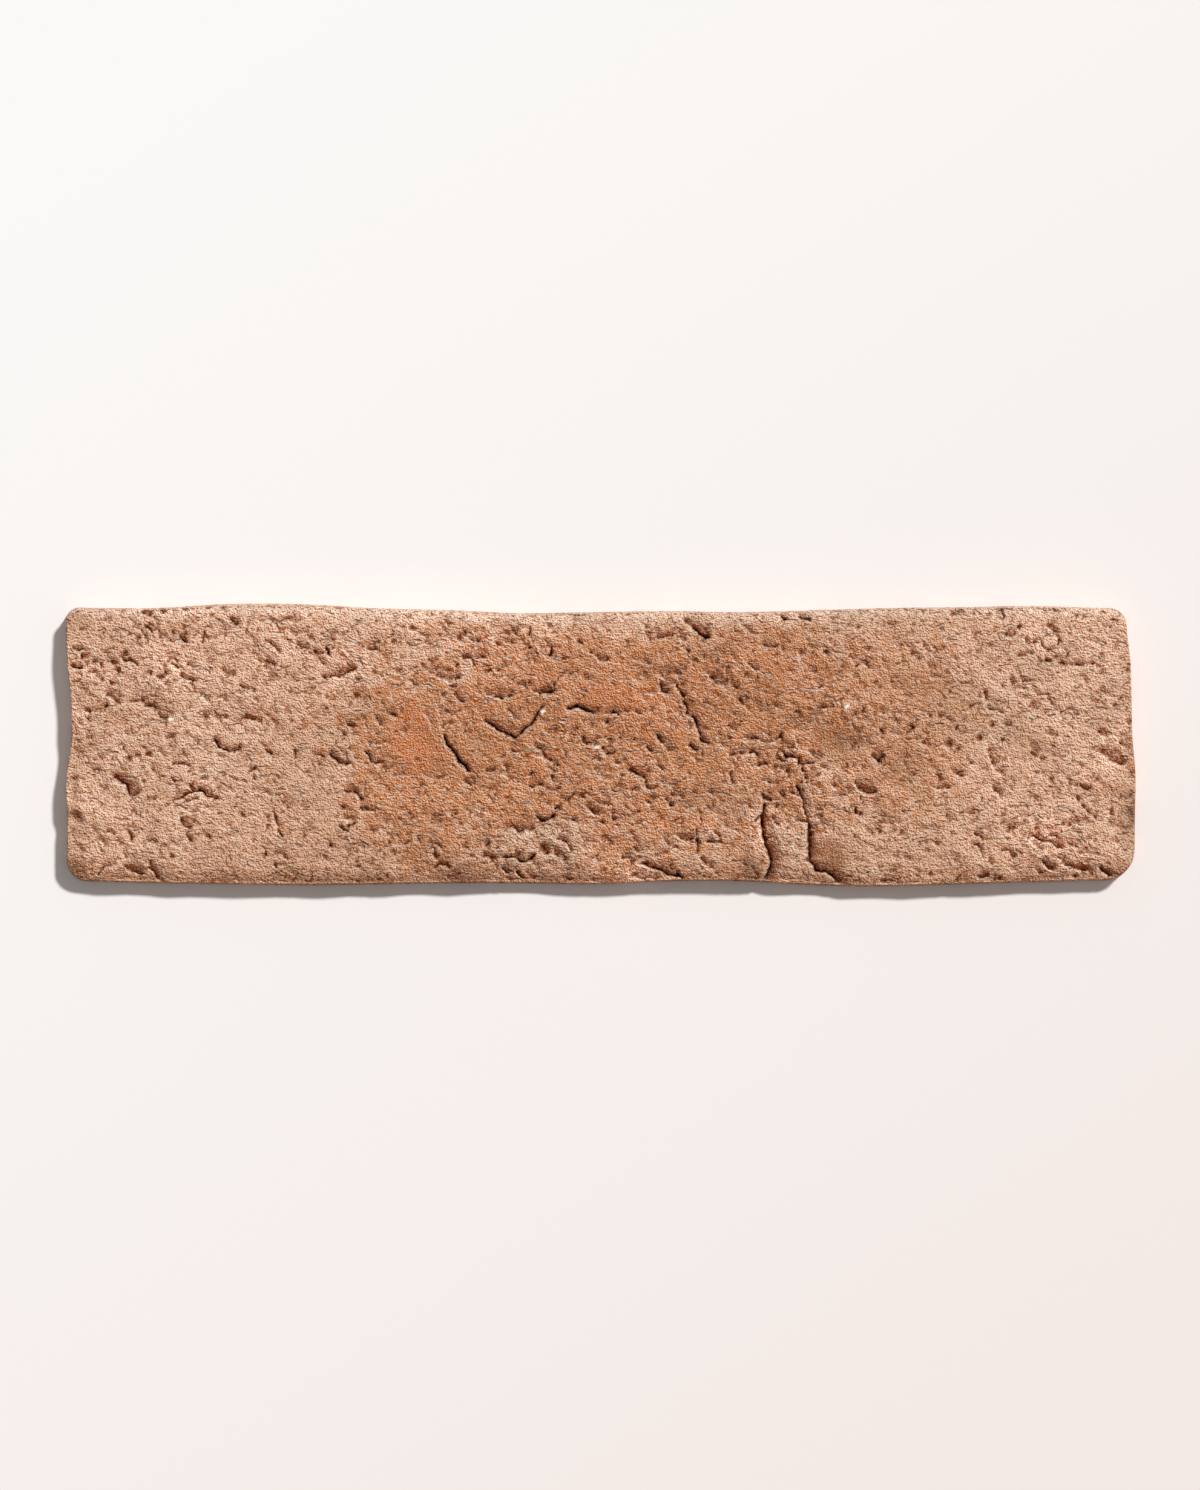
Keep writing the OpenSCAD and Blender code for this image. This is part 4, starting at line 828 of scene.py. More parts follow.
# %% Pits, hollows and lumps
HOLLOWS = [
    # x, y, radius along, radius across, turn, depth
    (-23, 3.6, 2.2, 1.2, -10, 0.9), (-14.2, 14.2, 2, 0.9, 0, 0.8), (-26.2, 13.6, 1.6, 0.9, 0, 0.5),
    (-65.2, -11.2, 2.2, 1.1, -25, 1.1), (-65, -14.6, 2.6, 2.2, 0, -0.5),
    (-26, -26, 1.6, 0.7, -15, 1.0), (-40, 17.8, 3.2, 1, 5, 0.35), (-19.5, 27.5, 2.2, 0.5, 15, 0.3),
    (-28.8, -6.6, 1.4, 0.7, 0, 0.4), (9.8, -7.2, 2.2, 0.9, -20, 0.6),
    (-2.3, -16.8, 2.2, 1, -30, 0.7), (17.3, 19.2, 3, 1, -5, 0.7), (31.2, 24.2, 1.3, 0.8, -20, 0.8),
    (32.5, 23.3, 0.8, 0.6, 0, 1.0), (30.8, 17, 2.6, 1.2, -30, 0.7),
    (26.5, 29.5, 2.6, 1.2, -50, 0.6), (27.2, -26.2, 2, 1.5, 20, 0.8), (22.5, -24, 2.4, 0.7, 0, 0.4),
    (17.5, 13.8, 1.6, 0.8, -40, 0.5), (-107, -20.4, 1.8, 1.7, 0, 0.8),
    (-121.8, -11.6, 1.8, 1.8, 0, 0.7), (-113.6, 8.3, 1.8, 0.9, -20, 0.5),
    (-137.2, -19.3, 2, 1.5, 0, 1.6), (-138.5, -22, 0.8, 1, 40, 0.8), (-139, -10.5, 1.8, 7, 4, 0.8),
    (-37.6, 28.3, 0.5, 0.4, 0, 0.4), (138, -19, 1.4, 3, 12, 1.4), (138.8, -9, 1.3, 0.8, -20, 1.0),
    (138.3, -23.5, 1, 0.7, 0, 0.9), (135.7, -23.8, 0.6, 0.6, 0, 0.7),
    (137, -23.6, 0.4, 0.5, 0, 0.6), (138.1, -1.9, 1, 0.6, 0, 0.8), (138.1, 1.4, 0.6, 0.5, 0, 0.7),
    (113, -1.6, 1.6, 1.7, 30, 0.8), (103.2, -3, 1.2, 2.8, 10, 0.3), (98, -5.2, 2.2, 0.8, 5, 0.6),
    (104.4, -1.3, 0.7, 0.6, 0, 0.6), (132.6, -2.6, 3.2, 1.2, -30, 0.6),
    (107, 6.4, 2.8, 1.8, -10, 0.5), (48.8, -25, 4, 8, 5, -0.5), (58.5, -29.5, 3.8, 4.5, -40, 0.7),
    (44, -26, 1.4, 8, 6, 0.5), (74, -5.3, 1.6, 0.5, 0, 0.8), (77.1, -5, 0.45, 0.3, 0, 0.8),
    (61.2, -1, 1.6, 0.9, 0, 0.6), (51.5, 6.3, 2.2, 1, -25, 0.5), (43.4, 8.4, 1.3, 0.9, 0, 0.6),
    (57, 19.3, 1.4, 0.6, 0, 0.5), (61.8, 18, 1.6, 0.9, 0, 0.5), (74, -35.4, 0.9, 0.5, 0, 0.9),
    (93, -35.9, 0.8, 0.6, 0, 1.1), (99.7, -34.2, 1.7, 0.5, 0, 0.7), (116.7, -27.3, 1, 0.7, 0, 0.9),
    (117.8, -29, 1, 0.6, -40, 0.6), (117, 26.7, 2, 1.8, 0, -0.3), (-61, -24, 2, 4, 0, 0.2),
    (-72, 26.6, 0.6, 0.5, 0, 0.7), (11.8, 21.2, 1, 0.6, 0, 0.6), (11.7, 17.5, 0.7, 1, 0, 0.8),
    (31.4, 12, 0.8, 0.9, 0, 0.8), (36.1, 7.4, 0.7, 0.5, 0, 0.8), (26, -2.9, 1.1, 0.5, 0, 0.7),
    (46, -0.4, 0.5, 0.9, 0, 1.0), (-4, -6.4, 0.9, 0.6, 0, 0.7), (3.3, -6.8, 0.9, 0.5, 0, 0.7),
    (-77.8, 10.7, 1.5, 0.6, 0, 0.7), (-137, 33, 1, 2, -40, 0.4),
    # the crust's clods
    (-22, -24.6, 3, 1.6, 12, -0.55), (-14.6, -24.2, 2.6, 1.4, -8, -0.55),
    (-18.6, -27.6, 2.4, 1.2, 10, -0.4), (-9, -27.2, 3, 1.5, -20, -0.45),
    (-24.4, -31, 2.2, 1.2, 0, -0.4), (-6.2, -22.8, 2.6, 1.4, -30, -0.4),
    (-16.6, -32.6, 3, 1.4, 0, -0.4), (-2.5, -28.2, 2.6, 1.6, -15, -0.4),
    (1, -22.6, 2.4, 1.4, -30, -0.35),
]
bent_x, bent_y = x + bend_x, y + bend_y  # the points have been slid since the cracks
hollow_depth = np.zeros_like(x)
for px, py, along, across, turn, depth in HOLLOWS:
    dx, dy = bent_x - px, bent_y - py
    away = oval_away(dx, dy, along, across, turn)
    ahead = (dx * math.cos(DRAG) + dy * math.sin(DRAG)) / np.hypot(dx, dy).clip(0.2)
    hollow_depth += depth * np.exp(-away ** 4) * (0.7 + 0.3 * ahead * np.minimum(away, 1))
print(len(HOLLOWS), "hollows and lumps")

# %% Pits
random.seed(28)
PITS = [
    # x, y, radius
    (-37, 28.1, 0.7), (-32.7, 29.8, 0.45), (-31.2, 29.9, 0.4), (-34.3, 29.3, 0.4), (-35.3, 29, 0.5),
    (-32, 27, 0.5), (-28.5, 28.4, 0.4), (-24.8, 29.2, 0.4), (-23.3, 29.8, 0.6), (-22.2, 29.4, 0.5),
    (-19, 29.3, 0.45), (-24.4, 26.8, 0.5), (-23.3, 26.7, 0.5), (-25.8, 26.5, 0.4),
    (-20.5, 27.5, 0.4), (-28, 18, 0.5), (-14.7, 29, 0.4), (-13.5, 31, 0.6), (-14.5, 31.8, 0.4),
    (-7, 31, 0.5), (-12.5, 29.3, 0.35), (-17.5, 33.5, 0.4), (-44.3, 26.6, 0.5), (-48.5, 30.3, 0.6),
    (-45.7, 29.8, 0.4), (-44.5, -25.4, 0.45), (-44.1, -26.5, 0.5), (-47.5, -12.8, 0.4),
    (-49.2, -15.5, 0.4), (-38, -14.3, 0.4), (-29, -11.5, 0.5), (-29.5, -13.3, 0.5),
    (-15.2, -27, 0.9), (-112, -29.2, 0.6), (-118.3, -2.4, 0.6), (-123, -3.8, 0.7),
    (-112.9, 23.5, 0.3), (-120.8, 30.6, 0.5), (-125.3, 23.2, 0.5), (-124.2, 24.1, 0.5),
    (-126, 24.9, 0.4), (-135.9, 18.7, 0.4), (-138, 33.5, 0.4), (-110.6, 34.9, 0.4),
    (-101.5, 33.7, 0.5), (-54.2, 26.8, 0.65), (-54.3, 28.9, 0.5), (-52.7, 29, 0.4),
    (-51.3, 29.2, 0.4), (-52.4, 27.6, 0.4), (-51.3, 27.9, 0.4), (-51.8, 31, 0.5),
    (-53.3, 30.8, 0.4), (-49.3, 30.5, 0.6), (-50, 33.4, 0.45), (-54.3, 32, 0.45),
    (-58.6, 32.3, 0.5), (-70.3, 33.4, 0.4), (-69, 29.4, 0.45), (-67, 29.2, 0.45), (-64, 31, 0.45),
    (-59.2, 19.1, 0.5), (-63.8, 12.8, 0.75), (-65.5, 10.7, 0.5), (-62, 12, 0.4),
    (-60.5, 12.2, 0.35), (-75.7, 27.8, 0.5), (-76.2, 25.7, 0.4), (-70, 25.2, 0.45),
    (-68.5, 25.4, 0.45), (-66.7, 25.3, 0.35), (-69.3, 23.6, 0.45), (-67.7, 23.6, 0.45),
    (-66.9, 23.3, 0.4), (-92, 32, 0.5), (-90.8, 32.2, 0.4), (-89.3, 29.8, 0.4), (-82.2, 18.4, 0.45),
    (-121.3, 3.3, 0.35), (-121.4, 2.1, 0.35), (-118, 1.2, 0.4), (-73.7, 13, 0.5), (-71.6, 9.5, 0.4),
    (1.5, 29.5, 0.3), (12, 31, 0.5), (14, 27.9, 0.5), (22.6, 24.3, 0.4), (27, 22.9, 0.5),
    (29.7, 21.6, 0.4), (29, 15.9, 0.6), (37.7, 18, 0.7), (37.9, 25, 0.5), (-3.5, 17.4, 0.45),
    (-1.3, 21.2, 0.35), (1.8, 6.1, 0.5), (13, 9.3, 0.5), (25, 13.2, 0.4), (26.2, 10, 0.35),
    (38, 12.2, 0.5), (27.2, 4.3, 0.4), (6, -4, 0.5), (-1.3, -6.1, 0.4), (-5.7, -10.3, 0.5),
    (12.5, -15, 0.4), (13.8, -13.8, 0.5), (11, -15.3, 0.35), (-4.5, -26.1, 0.4), (13.8, -26, 0.35),
    (28, -2.5, 0.45), (35.8, -19.9, 0.5), (42.1, -30.3, 0.5), (43.8, -9.8, 0.4), (45.5, -6, 0.6),
    (47.2, -6.1, 0.6), (48.5, -6, 0.4), (56.7, -6.5, 0.4), (64, -5.6, 0.4), (68.5, -5.7, 0.5),
    (65.8, -0.7, 0.6), (68, 0, 0.4), (66.3, 0.5, 0.5), (52.3, 24, 0.6), (55.3, 24.2, 0.5),
    (61.5, 29.4, 0.5), (60.4, 22, 0.4), (67, 30.6, 0.6), (68.3, 9, 0.6), (66.5, 8.2, 0.4),
    (62.5, 9.5, 0.35), (71.2, 5.6, 0.5), (67, 3.6, 0.5), (84.3, 25.8, 0.5), (81.2, 23.5, 0.5),
    (83, 23, 0.4), (98.5, 22.9, 0.45), (97.2, 29.4, 0.5), (113.3, 14.3, 0.4), (104.5, 35.4, 0.45),
    (124.3, 33.7, 0.6), (126, 33.6, 0.5), (122.2, 30.5, 0.4), (117.4, 17.5, 0.3), (134, 10.4, 0.5),
    (135.4, 12.2, 0.5), (138, 6, 0.6), (137.2, 19.4, 0.4), (90.8, 0, 0.8), (93.2, -1, 0.6),
    (98.7, 1.7, 0.7), (104.5, 1.3, 0.5), (102, 5, 0.6), (88.7, 7.7, 0.6), (96.5, 10, 0.6),
    (115, -3.8, 0.5), (117.3, -9, 0.6), (93.9, -17.9, 0.4), (96.9, -17.5, 0.4), (94, -16.4, 0.3),
    (113.5, -21.9, 0.5), (122.3, -20.8, 0.6), (105, -20.2, 0.4), (138.2, -13.3, 0.5),
    (139, -15, 0.4), (136.2, -22, 0.5), (87.7, -25.6, 0.5), (101.6, -30.2, 0.5),
    (123.5, -34.3, 0.6), (114, -27.6, 0.5), (86, -34, 0.5), (104, -34.8, 0.6), (-88, 12.3, 0.3),
    (-86, 9.3, 0.35), (-117, -6.7, 0.4), (-118.6, -7.6, 0.45), (-120, -7.5, 0.4),
]
SCATTERED = 1300

places = list(PITS)
for _ in range(SCATTERED):
    places.append((*anywhere(), random.uniform(0.2, 0.45)))
pit_depth = np.zeros_like(x)
for px, py, radius in places:
    part = part_near([(px, py)], 2)
    away = np.hypot(bent_x[part] - px, bent_y[part] - py) / radius
    pit_depth[part] = np.maximum(pit_depth[part], 1.6 * radius * np.exp(-away ** 2))
print(len(PITS), "pits in their places and", SCATTERED, "scattered")

# %% [markdown]
# ## Adding it up
#
# The folds, pits and cracks are added up into one depth, and that is cut out of the CAD's
# face. The face is first lifted by the depth that a fifth of it lies above, so that it
# keeps its level, and a cap keeps the highest clods at the tile's stated thickness. At
# the outer line of the grid the skin fades to a third, because a pressed edge is firmer
# than the face.

# %% The skin between the cracks
SKIN_SHARE = 0.64  # firing sinters the skin, so its folds are flatter than soft clay's

near_wall = 0.3 + 0.7 * smooth_step(0, 1.8, from_rim)
quiet = 1 - 0.6 * np.exp(-(crack_away / 0.8) ** 2)  # clay beside a crack is left smooth
clod_edge = clod_open * np.exp(-clod_border / 0.3)
skin = broken * (0.3 * np.minimum(clod_near, 1.1) ** 2 + 0.4 * clod_edge)
skin += 0.65 * lap_open * lap_depth + 0.75 * short_open * short_depth
skin -= 0.5 * broken * fold_open * np.abs(fold) + 0.2 * fold + 0.15 * small_fold
ground = SKIN_SHARE * near_wall * (rough * quiet * skin + 0.2 * swell)
print("skin from", round(ground.min(), 2), "to", round(ground.max(), 2), "mm deep")

# %% The finished height
SHARES = [(pit_depth, 1.25), (sink_depth, 2.4), (crack_depth, 1.4), (hollow_depth, 0.62)]
LEVEL = 22  # percent of the face that is lifted above the CAD's
RELIEF = 0.8  # mm, the reach over which a place counts as higher or lower than its neighbours

cut = ground + near_wall * sum(share * depth for depth, share in SHARES)
height = np.minimum(face - cut + np.percentile(cut, LEVEL), THICKNESS)
below = soften(height, RELIEF) - height
above = soften(ground, RELIEF) - ground
print("finished face from", round(height.min(), 2), "to", round(height.max(), 2), "mm")

# %% [markdown]
# ## Building the mesh
#
# The grid operator makes the face, and each of its points is moved to its place. The
# outer edges are then extruded down as the side wall, row by row. The back's rim and
# ribs are one flat fill between the foot and the openings of the keys, and the keys
# are taken from the CAD body as they are, so they need no measuring. An integer layer
# remembers each point's place in the grid, and extruded points inherit it.

# %% The face
tile = bmesh.new()
place = tile.verts.layers.int.new("place")
bmesh.ops.create_grid(tile, x_segments=COLUMNS, y_segments=ROWS, size=0.5)
for point in tile.verts:
    column = round((point.co.x + 0.5) * COLUMNS)
    row = round((point.co.y + 0.5) * ROWS)
    point[place] = row * (COLUMNS + 1) + column + 1
    point.co = Vector((x[row, column], y[row, column], height[row, column])) * MM
print("face:", len(tile.verts), "points,", len(tile.faces), "cells")

# %% Helpers for the side wall
ring_places = np.concatenate([
    np.arange(COLUMNS), np.arange(ROWS) * (COLUMNS + 1) + COLUMNS,
    ROWS * (COLUMNS + 1) + np.arange(COLUMNS, 0, -1), np.arange(ROWS, 0, -1) * (COLUMNS + 1)])
ring_index = {int(p) + 1: k for k, p in enumerate(ring_places)}
wall_top = height.ravel()[ring_places]


def side_noise(size, seed, level):
    """Noise on the side wall, read in space so that it has no seam."""
    points = zip(ring[:, 0] / size, ring[:, 1] / size, level / size)
    return np.array([noise.fractal((a, b, c + seed), 1.0, 2.0, 2) for a, b, c in points])


def pull_down(edges, inset, level):
    """Extrudes a ring of edges to a new inset and level, in mm, and returns the new ring."""
    made = bmesh.ops.extrude_edge_only(tile, edges=edges)["geom"]
    for point in (g for g in made if isinstance(g, bmesh.types.BMVert)):
        k = ring_index[point[place]]
        px, py = ring[k] - inset[k] * ring_out[k]
        point.co = Vector((px, py, level[k])) * MM
    return [g for g in made if isinstance(g, bmesh.types.BMEdge) and g.is_boundary]


# %% The side wall
WALL_ROWS = 7
FOOT_BEVEL = 0.6  # mm
DEEPEST_DENT = 0.5  # mm

rim = [e for e in tile.edges if e.is_boundary]
for row in range(1, WALL_ROWS + 1):
    down = row / WALL_ROWS
    level = wall_top + (foot_level / MM - wall_top) * down
    dent = 0.12 + 0.22 * side_noise(2.4, 5.5, level) + 0.1 * side_noise(0.9, 9.5, level)
    if row == WALL_ROWS:
        dent *= 0  # the foot is the tile's widest line, and keeps its true place
    rim = pull_down(rim, WALL_LEAN * (1 - down) + dent.clip(0, DEEPEST_DENT), level)
rim = pull_down(rim, np.full(ROUND, FOOT_BEVEL), np.zeros(ROUND))
print("side wall:", WALL_ROWS + 1, "rows of", len(rim))

# %% The keyed back
low_points = [v.co.z for v in body.verts
              if v.co.z < 0.2 * THICKNESS * MM and abs(v.co.x) < 0.5 * HALF_LENGTH * MM]
key_roof = max(low_points)
not_key = [f for f in body.faces if abs(max(p.co.z for p in f.verts) - key_roof) > 0.001 * MM]
bmesh.ops.delete(body, geom=not_key, context="FACES")
keys = bpy.data.meshes.new("keys")
body.to_mesh(keys)
tile.from_mesh(keys)
bpy.data.meshes.remove(keys)
openings = [e for e in tile.edges if e.is_boundary]
bmesh.ops.triangle_fill(tile, edges=openings, use_beauty=True, use_dissolve=False)
bmesh.ops.recalc_face_normals(tile, faces=tile.faces)
print("open edges left:", sum(e.is_boundary for e in tile.edges),
      "- key depth", round(key_roof / MM, 2), "mm")

# %% The piece
tile_mesh = bpy.data.meshes.new("porcelain_tile")
tile.to_mesh(tile_mesh)
tile.free()
body.free()
tile_mesh.shade_smooth()
tile_piece = bpy.data.objects.new("porcelain_tile", tile_mesh)
bpy.context.scene.collection.objects.link(tile_piece)
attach(tile_piece, "root")
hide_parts("tile")
tile_mesh.calc_loop_triangles()
print("porcelain_tile:", len(tile_mesh.loop_triangles), "triangles")

# %% [markdown]
# ## Where each colour of the fired clay lies
#
# The face is printed with mineral inks before firing, from a scan of the old brick. So
# its colours are the kiln's: pinkish tan at the ends, orange-brown in the middle, bright
# orange where the clay was wiped, cream where sand stuck, and dark stains. Over these,
# light and shade are painted into the colours as if from one fixed side: a painted
# highlight on every slope that faces it, on raised clods and along the back arris,
# painted shade on the lee, in creases, hollows, pits and cracks and along the front
# arris, and the darkest painted shadow where a fold would throw one. Over all that lie
# softer paler and browner patches 3 to 15 mm wide, partly the clay's own tone and partly
# painted light and shade over broad swells, which add up where they overlap. Each of these
# is a field kept on the mesh as an attribute, so that it lies exactly on its fold. A
# picture could be laid over the face instead, but then relief and print would drift apart.

# %% Patches of colour
WARM = [
    # x, y, radius along, radius across, turn, strength
    (2, 2, 66, 34, 0, 0.95), (-46, -5, 22, 26, 0, 0.85), (74, 6, 22, 24, 0, 0.6),
    (30, 10, 40, 22, 0, 1.0),
]
FLASHES = [
    (-48.5, 1.5, 6.5, 9, 0, 0.95), (-16.7, -5.9, 3, 4.5, -20, 0.7), (6, 12.5, 12, 5, 5, 0.7),
    (-73, 32.6, 2.2, 1.3, 0, 0.8), (111.5, -30, 2, 1.5, 0, 0.5), (120, -25, 3, 1.5, 0, 0.5),
    (132.5, -11, 2.5, 1.6, 0, 0.6), (139, -6, 1.5, 2, 0, 0.7), (-30, 13, 12, 5, 0, 0.45),
    (-13, 18, 8, 4, 0, 0.45), (29, 16, 8, 4, -30, 0.5), (-126, 6, 5, 3, 0, 0.35),
    (137, -33, 4, 3, 0, 0.45), (-50, -8, 6, 5, 0, 0.6), (14, 4, 9, 5, 0, 0.4),
    (-88, 8, 4, 3, 0, 0.3),
]
CREAM = [
    (-15, -26, 13, 5.5, 8, 0.9), (49.6, -27.5, 3.2, 3.5, 0, 0.8), (47, -22, 3, 6, 0, 0.4),
    (99.8, -34.9, 1.8, 0.9, 0, 0.9), (34, -14, 8, 6, 0, 0.3), (2, 33, 26, 4, 0, 0.6),
    (-85, 36.3, 28, 1.2, 0, 0.6), (100, 8, 14, 10, 0, 0.35), (-118, -27, 10, 6, 0, 0.3),
    (70, -32, 8, 3, 0, 0.4), (-112, 0, 24, 22, 0, 0.25), (122, 10, 16, 18, 0, 0.25),
]
STAINS = [
    (51.6, 6.1, 3.5, 2.2, -20, 0.8), (31.5, 24.6, 4, 2, 30, 0.7), (11.7, 19.2, 3, 2, 0, 0.6),
    (-138, -33, 4, 3.5, 0, 0.8), (-110, 30, 4, 2.5, 0, 0.4), (44, 2, 6, 4, 0, 0.4),
    (-35, -33.5, 6, 3, 0, 0.8), (62, 2, 8, 3.5, -10, 0.4), (137.5, -19, 2.5, 4, 0, 0.7),
    (10, -36, 30, 1.3, 0, 0.3), (59.5, -29.5, 5, 5.5, -30, 0.6), (39, -30, 1.6, 5, 8, 0.6),
    (137, -6, 3, 8, 0, 0.35), (-65, -11.5, 2.5, 1.2, -25, 0.5), (-24, -7, 9, 4, 0, 0.25),
]
GRITS = [
    # x, y, radius along, radius across of a pale stone in the clay
    (64.1, 10.1, 0.6, 0.5), (-112, 6.7, 0.65, 0.45), (-15.2, 8.8, 0.6, 0.45),
    (-1.2, -0.6, 0.6, 0.45),
]
grit = np.zeros_like(x)
for px, py, along, across in GRITS:
    away = oval_away(x - px, y - py, along, across)
    grit = np.maximum(grit, smooth_step(1.15, 0.85, away))
print("places named:", sum(map(len, (WARM, FLASHES, CREAM, STAINS, GRITS))))

# %% Paler and browner patches
TONES = [
    # x, y, radius along, radius across, turn, and how much paler it is, or browner below 0
    (-67, 20.5, 6.5, 4.5, -15, 1.0), (-86, 23.5, 5, 6, 0, 0.75), (-109, 20.5, 7, 5, -30, 0.85),
    (-135, 23, 4.5, 4.5, 0, 0.8), (-106, -13, 4.5, 6, 0, 0.75), (-120, 16, 6, 4, -30, 0.35),
    (-115, 33, 12, 4, 0, 0.35), (-118, -2, 5, 3, 0, 0.3), (-125, -22, 8, 6, 0, 0.4),
    (-136, -16, 4.5, 4, 0, 0.4), (-60, 33, 30, 4, 0, 0.25), (-34, 25, 11, 4.5, -35, 0.5),
    (-15, 28, 7, 4, -30, 0.5), (-38, 16, 4, 4, 0, 0.3), (8, -34.5, 6, 4, 0, 1.3),
    (43, -22, 4, 4.5, 0, 0.9), (114.5, -24, 6.5, 5.5, 0, 1.2), (36, -4, 3, 5, 0, 0.4),
    (52, -2, 4, 4, 0, 0.4), (66, -10, 5, 5, 0, 0.4), (-8, 5, 5, 3, -20, 0.35),
    (11, -5, 5, 4, 0, 0.4), (128, 23, 4, 4.5, 0, 0.65), (116, 30, 8, 6, 0, 0.5),
    (133.5, -1, 3.5, 6, 0, 0.8), (115, 13, 8, 8, 0, 0.3), (102, -3, 3, 5, 0, 0.35),
    (70, 24, 4, 3.5, 0, 0.5), (36, 19.5, 4, 3, 0, 0.45), (17, 33, 4.5, 4, 0, 0.4),
    (53, 16, 5, 4, -30, 0.4), (48, -31, 3, 5, 0, 0.4), (80, -35, 4.5, 2.5, 0, 0.5),
    (20, -20, 8, 4, 0, 0.25), (55, -17, 4, 5, 0, 0.3), (124, -9, 5, 5, 0, 0.3),
    (24, 14, 3, 5, 30, 0.3), (-14, -21, 8, 4, 0, 0.25), (-20, -24.5, 6, 3, 10, 0.4),
    (-10, -27, 6, 3, -15, 0.3), (-78, 10, 4, 3, 0, 0.1), (-53, -15, 5, 3, 0, 0.15),
    (63, 0, 6, 4, 0, -0.75), (80, -8, 9, 4, -50, -0.6), (87, 13, 12, 4.5, -35, -0.6),
    (55, 7, 5.5, 3, -20, -0.55), (45.5, 16, 3.5, 4.5, 0, -0.5), (33, 11, 8, 2.5, -45, -0.35),
    (62, 20, 3.5, 4.5, 0, -0.5), (76, 33, 15, 3.5, 0, -0.4), (109, 2, 11, 4, -40, -0.4),
    (24, -15, 5.5, 4, 0, -0.75), (39, -33, 3.5, 4.5, 0, -0.9), (40, -14, 4, 3, 0, -0.4),
    (59, -33, 3.5, 4.5, 0, -0.4), (52, -23, 2.5, 3.5, 0, -0.3), (-31, 0, 6, 4.5, 0, -0.65),
    (-17, 9, 5, 3.5, 0, -0.5), (-1, 8, 4.5, 3.5, -30, -0.5), (-7, -5, 4.5, 4, -30, -0.4),
    (5, -13, 4, 6, 30, -0.3), (-62, 11, 4, 4.5, 0, -0.5), (-53, 4, 5, 6, 30, -0.15),
    (-84, -7, 7, 4.5, -25, -0.4), (-75, -29, 15, 7, 0, -0.3), (-58, -30, 5, 5, 0, -0.4),
    (-70, -35, 5, 3, 0, -0.5), (-45, -23.5, 4, 4, 0, -0.55), (-37, -33, 4, 4.5, 0, -0.75),
    (-52, -9, 6, 4, 0, -0.1), (-70, 0, 9, 7, 0, -0.2), (-128, 29, 7, 4.5, 0, -0.35),
    (-123, 8, 6, 3, 0, -0.25), (-137, -32, 4, 5, 0, -0.5), (12, -27, 4.5, 3.5, 0, -0.4),
    (139, -25, 4, 9, 0, -0.7), (138, -13, 3, 3, 0, -0.6), (137.5, 12, 2.5, 6, 0, -0.35),
    (72, -26, 15, 4, 0, -0.2), (96, -13, 4, 4, 0, -0.25), (-9, -17, 4.5, 4, 0, -0.3),
    (93, -36, 10, 2, 0, -0.2), (-136, 5, 4, 7, 0, 0.4), (-128, -3, 5, 4, 0, 0.25),
    (-105, 5, 5, 4, 0, 0.25), (-91, -11, 5, 6, -30, 0.35), (-98, 30, 5, 4, 0, 0.2),
    (-58, -1, 2.8, 8, 35, 0.4), (-50, 20, 8, 6, 0, 0.3), (-75, 28, 4, 4, 0, 0.2),
    (4, 24, 5, 5, 0, 0.4), (9, 12, 7, 3.5, 0, 0.35), (45, 3, 5, 3, 0, 0.25),
    (57.5, -22, 3, 7, 0, 0.4), (127, -30, 6, 4, 0, 0.45), (122, 10, 8, 5, 0, 0.2),
    (98, -9, 12, 7, 0, 0.2), (25, -22, 5, 4, 0, 0.25), (0, -10, 4, 4, 0, 0.2),
    (-18, -23.5, 9, 3.5, 0, -0.5), (35, -20, 3.5, 7, 0, -0.4), (69, -3, 6, 8, 0, -0.15),
    (70, 10, 4, 4, 0, -0.2), (115, 21, 4, 3, 0, -0.5), (-138, 32, 4, 4, 0, -0.5),
    (139, -19, 2.5, 4, 0, -0.4), (63, 33, 5, 3, 0, -0.3), (-113, -17, 5, 4, 0, -0.25),
    (50, -20, 2.5, 3, 0, -0.3), (-32, 24, 5, 3, -40, 0.3), (-18, 25, 4, 5, 0, 0.3),
    (1, -18, 6, 6, 0, 0.35), (37, -4, 3, 5, 0, 0.3), (-64, -16, 5, 3, -30, 0.3),
    (-107, -10, 4, 4, 0, 0.3), (-97, 8, 5, 5, 0, 0.25), (-52, -3, 5, 5, 0, 0.2),
    (41, -22, 4, 5, 0, 0.4), (-25, -7, 16, 12, 0, 0.15), (-97, -17, 6, 5, 0, -0.35),
    (-73, -20, 6, 10, 0, -0.2), (86, -26, 6, 6, 0, -0.3), (111, -26, 6, 5, 0, -0.3),
    (109, 4, 5, 5, 0, -0.25), (64, -16, 4, 5, 0, -0.3), (-67, 32, 6, 4, 0, -0.25),
    (116, 20, 5, 3, 0, -0.2), (-115, -12, 4, 3.5, -40, -0.3), (-95, -29, 9, 4, 0, -0.25),
    (28, 26, 5, 4, 0, -0.3), (-52, 25, 3, 3, 0, -0.25),
]
tone = np.zeros_like(x)
for px, py, along, across, turn, strength in TONES:
    tone += strength * np.exp(-oval_away(x - px, y - py, along, across, turn) ** 2)
print("tone from", round(tone.min(), 2), "to", round(tone.max(), 2))

# %% Painted light and shade, from one fixed side
PAINTED_LIGHT_TURN = math.radians(55)  # the side from which light and shade are painted into the colours
PAINTED_LIGHT_STEEPNESS = 1.0  # how far that painted light falls for each mm it crosses
LONGEST_SHADOW = 8  # cells

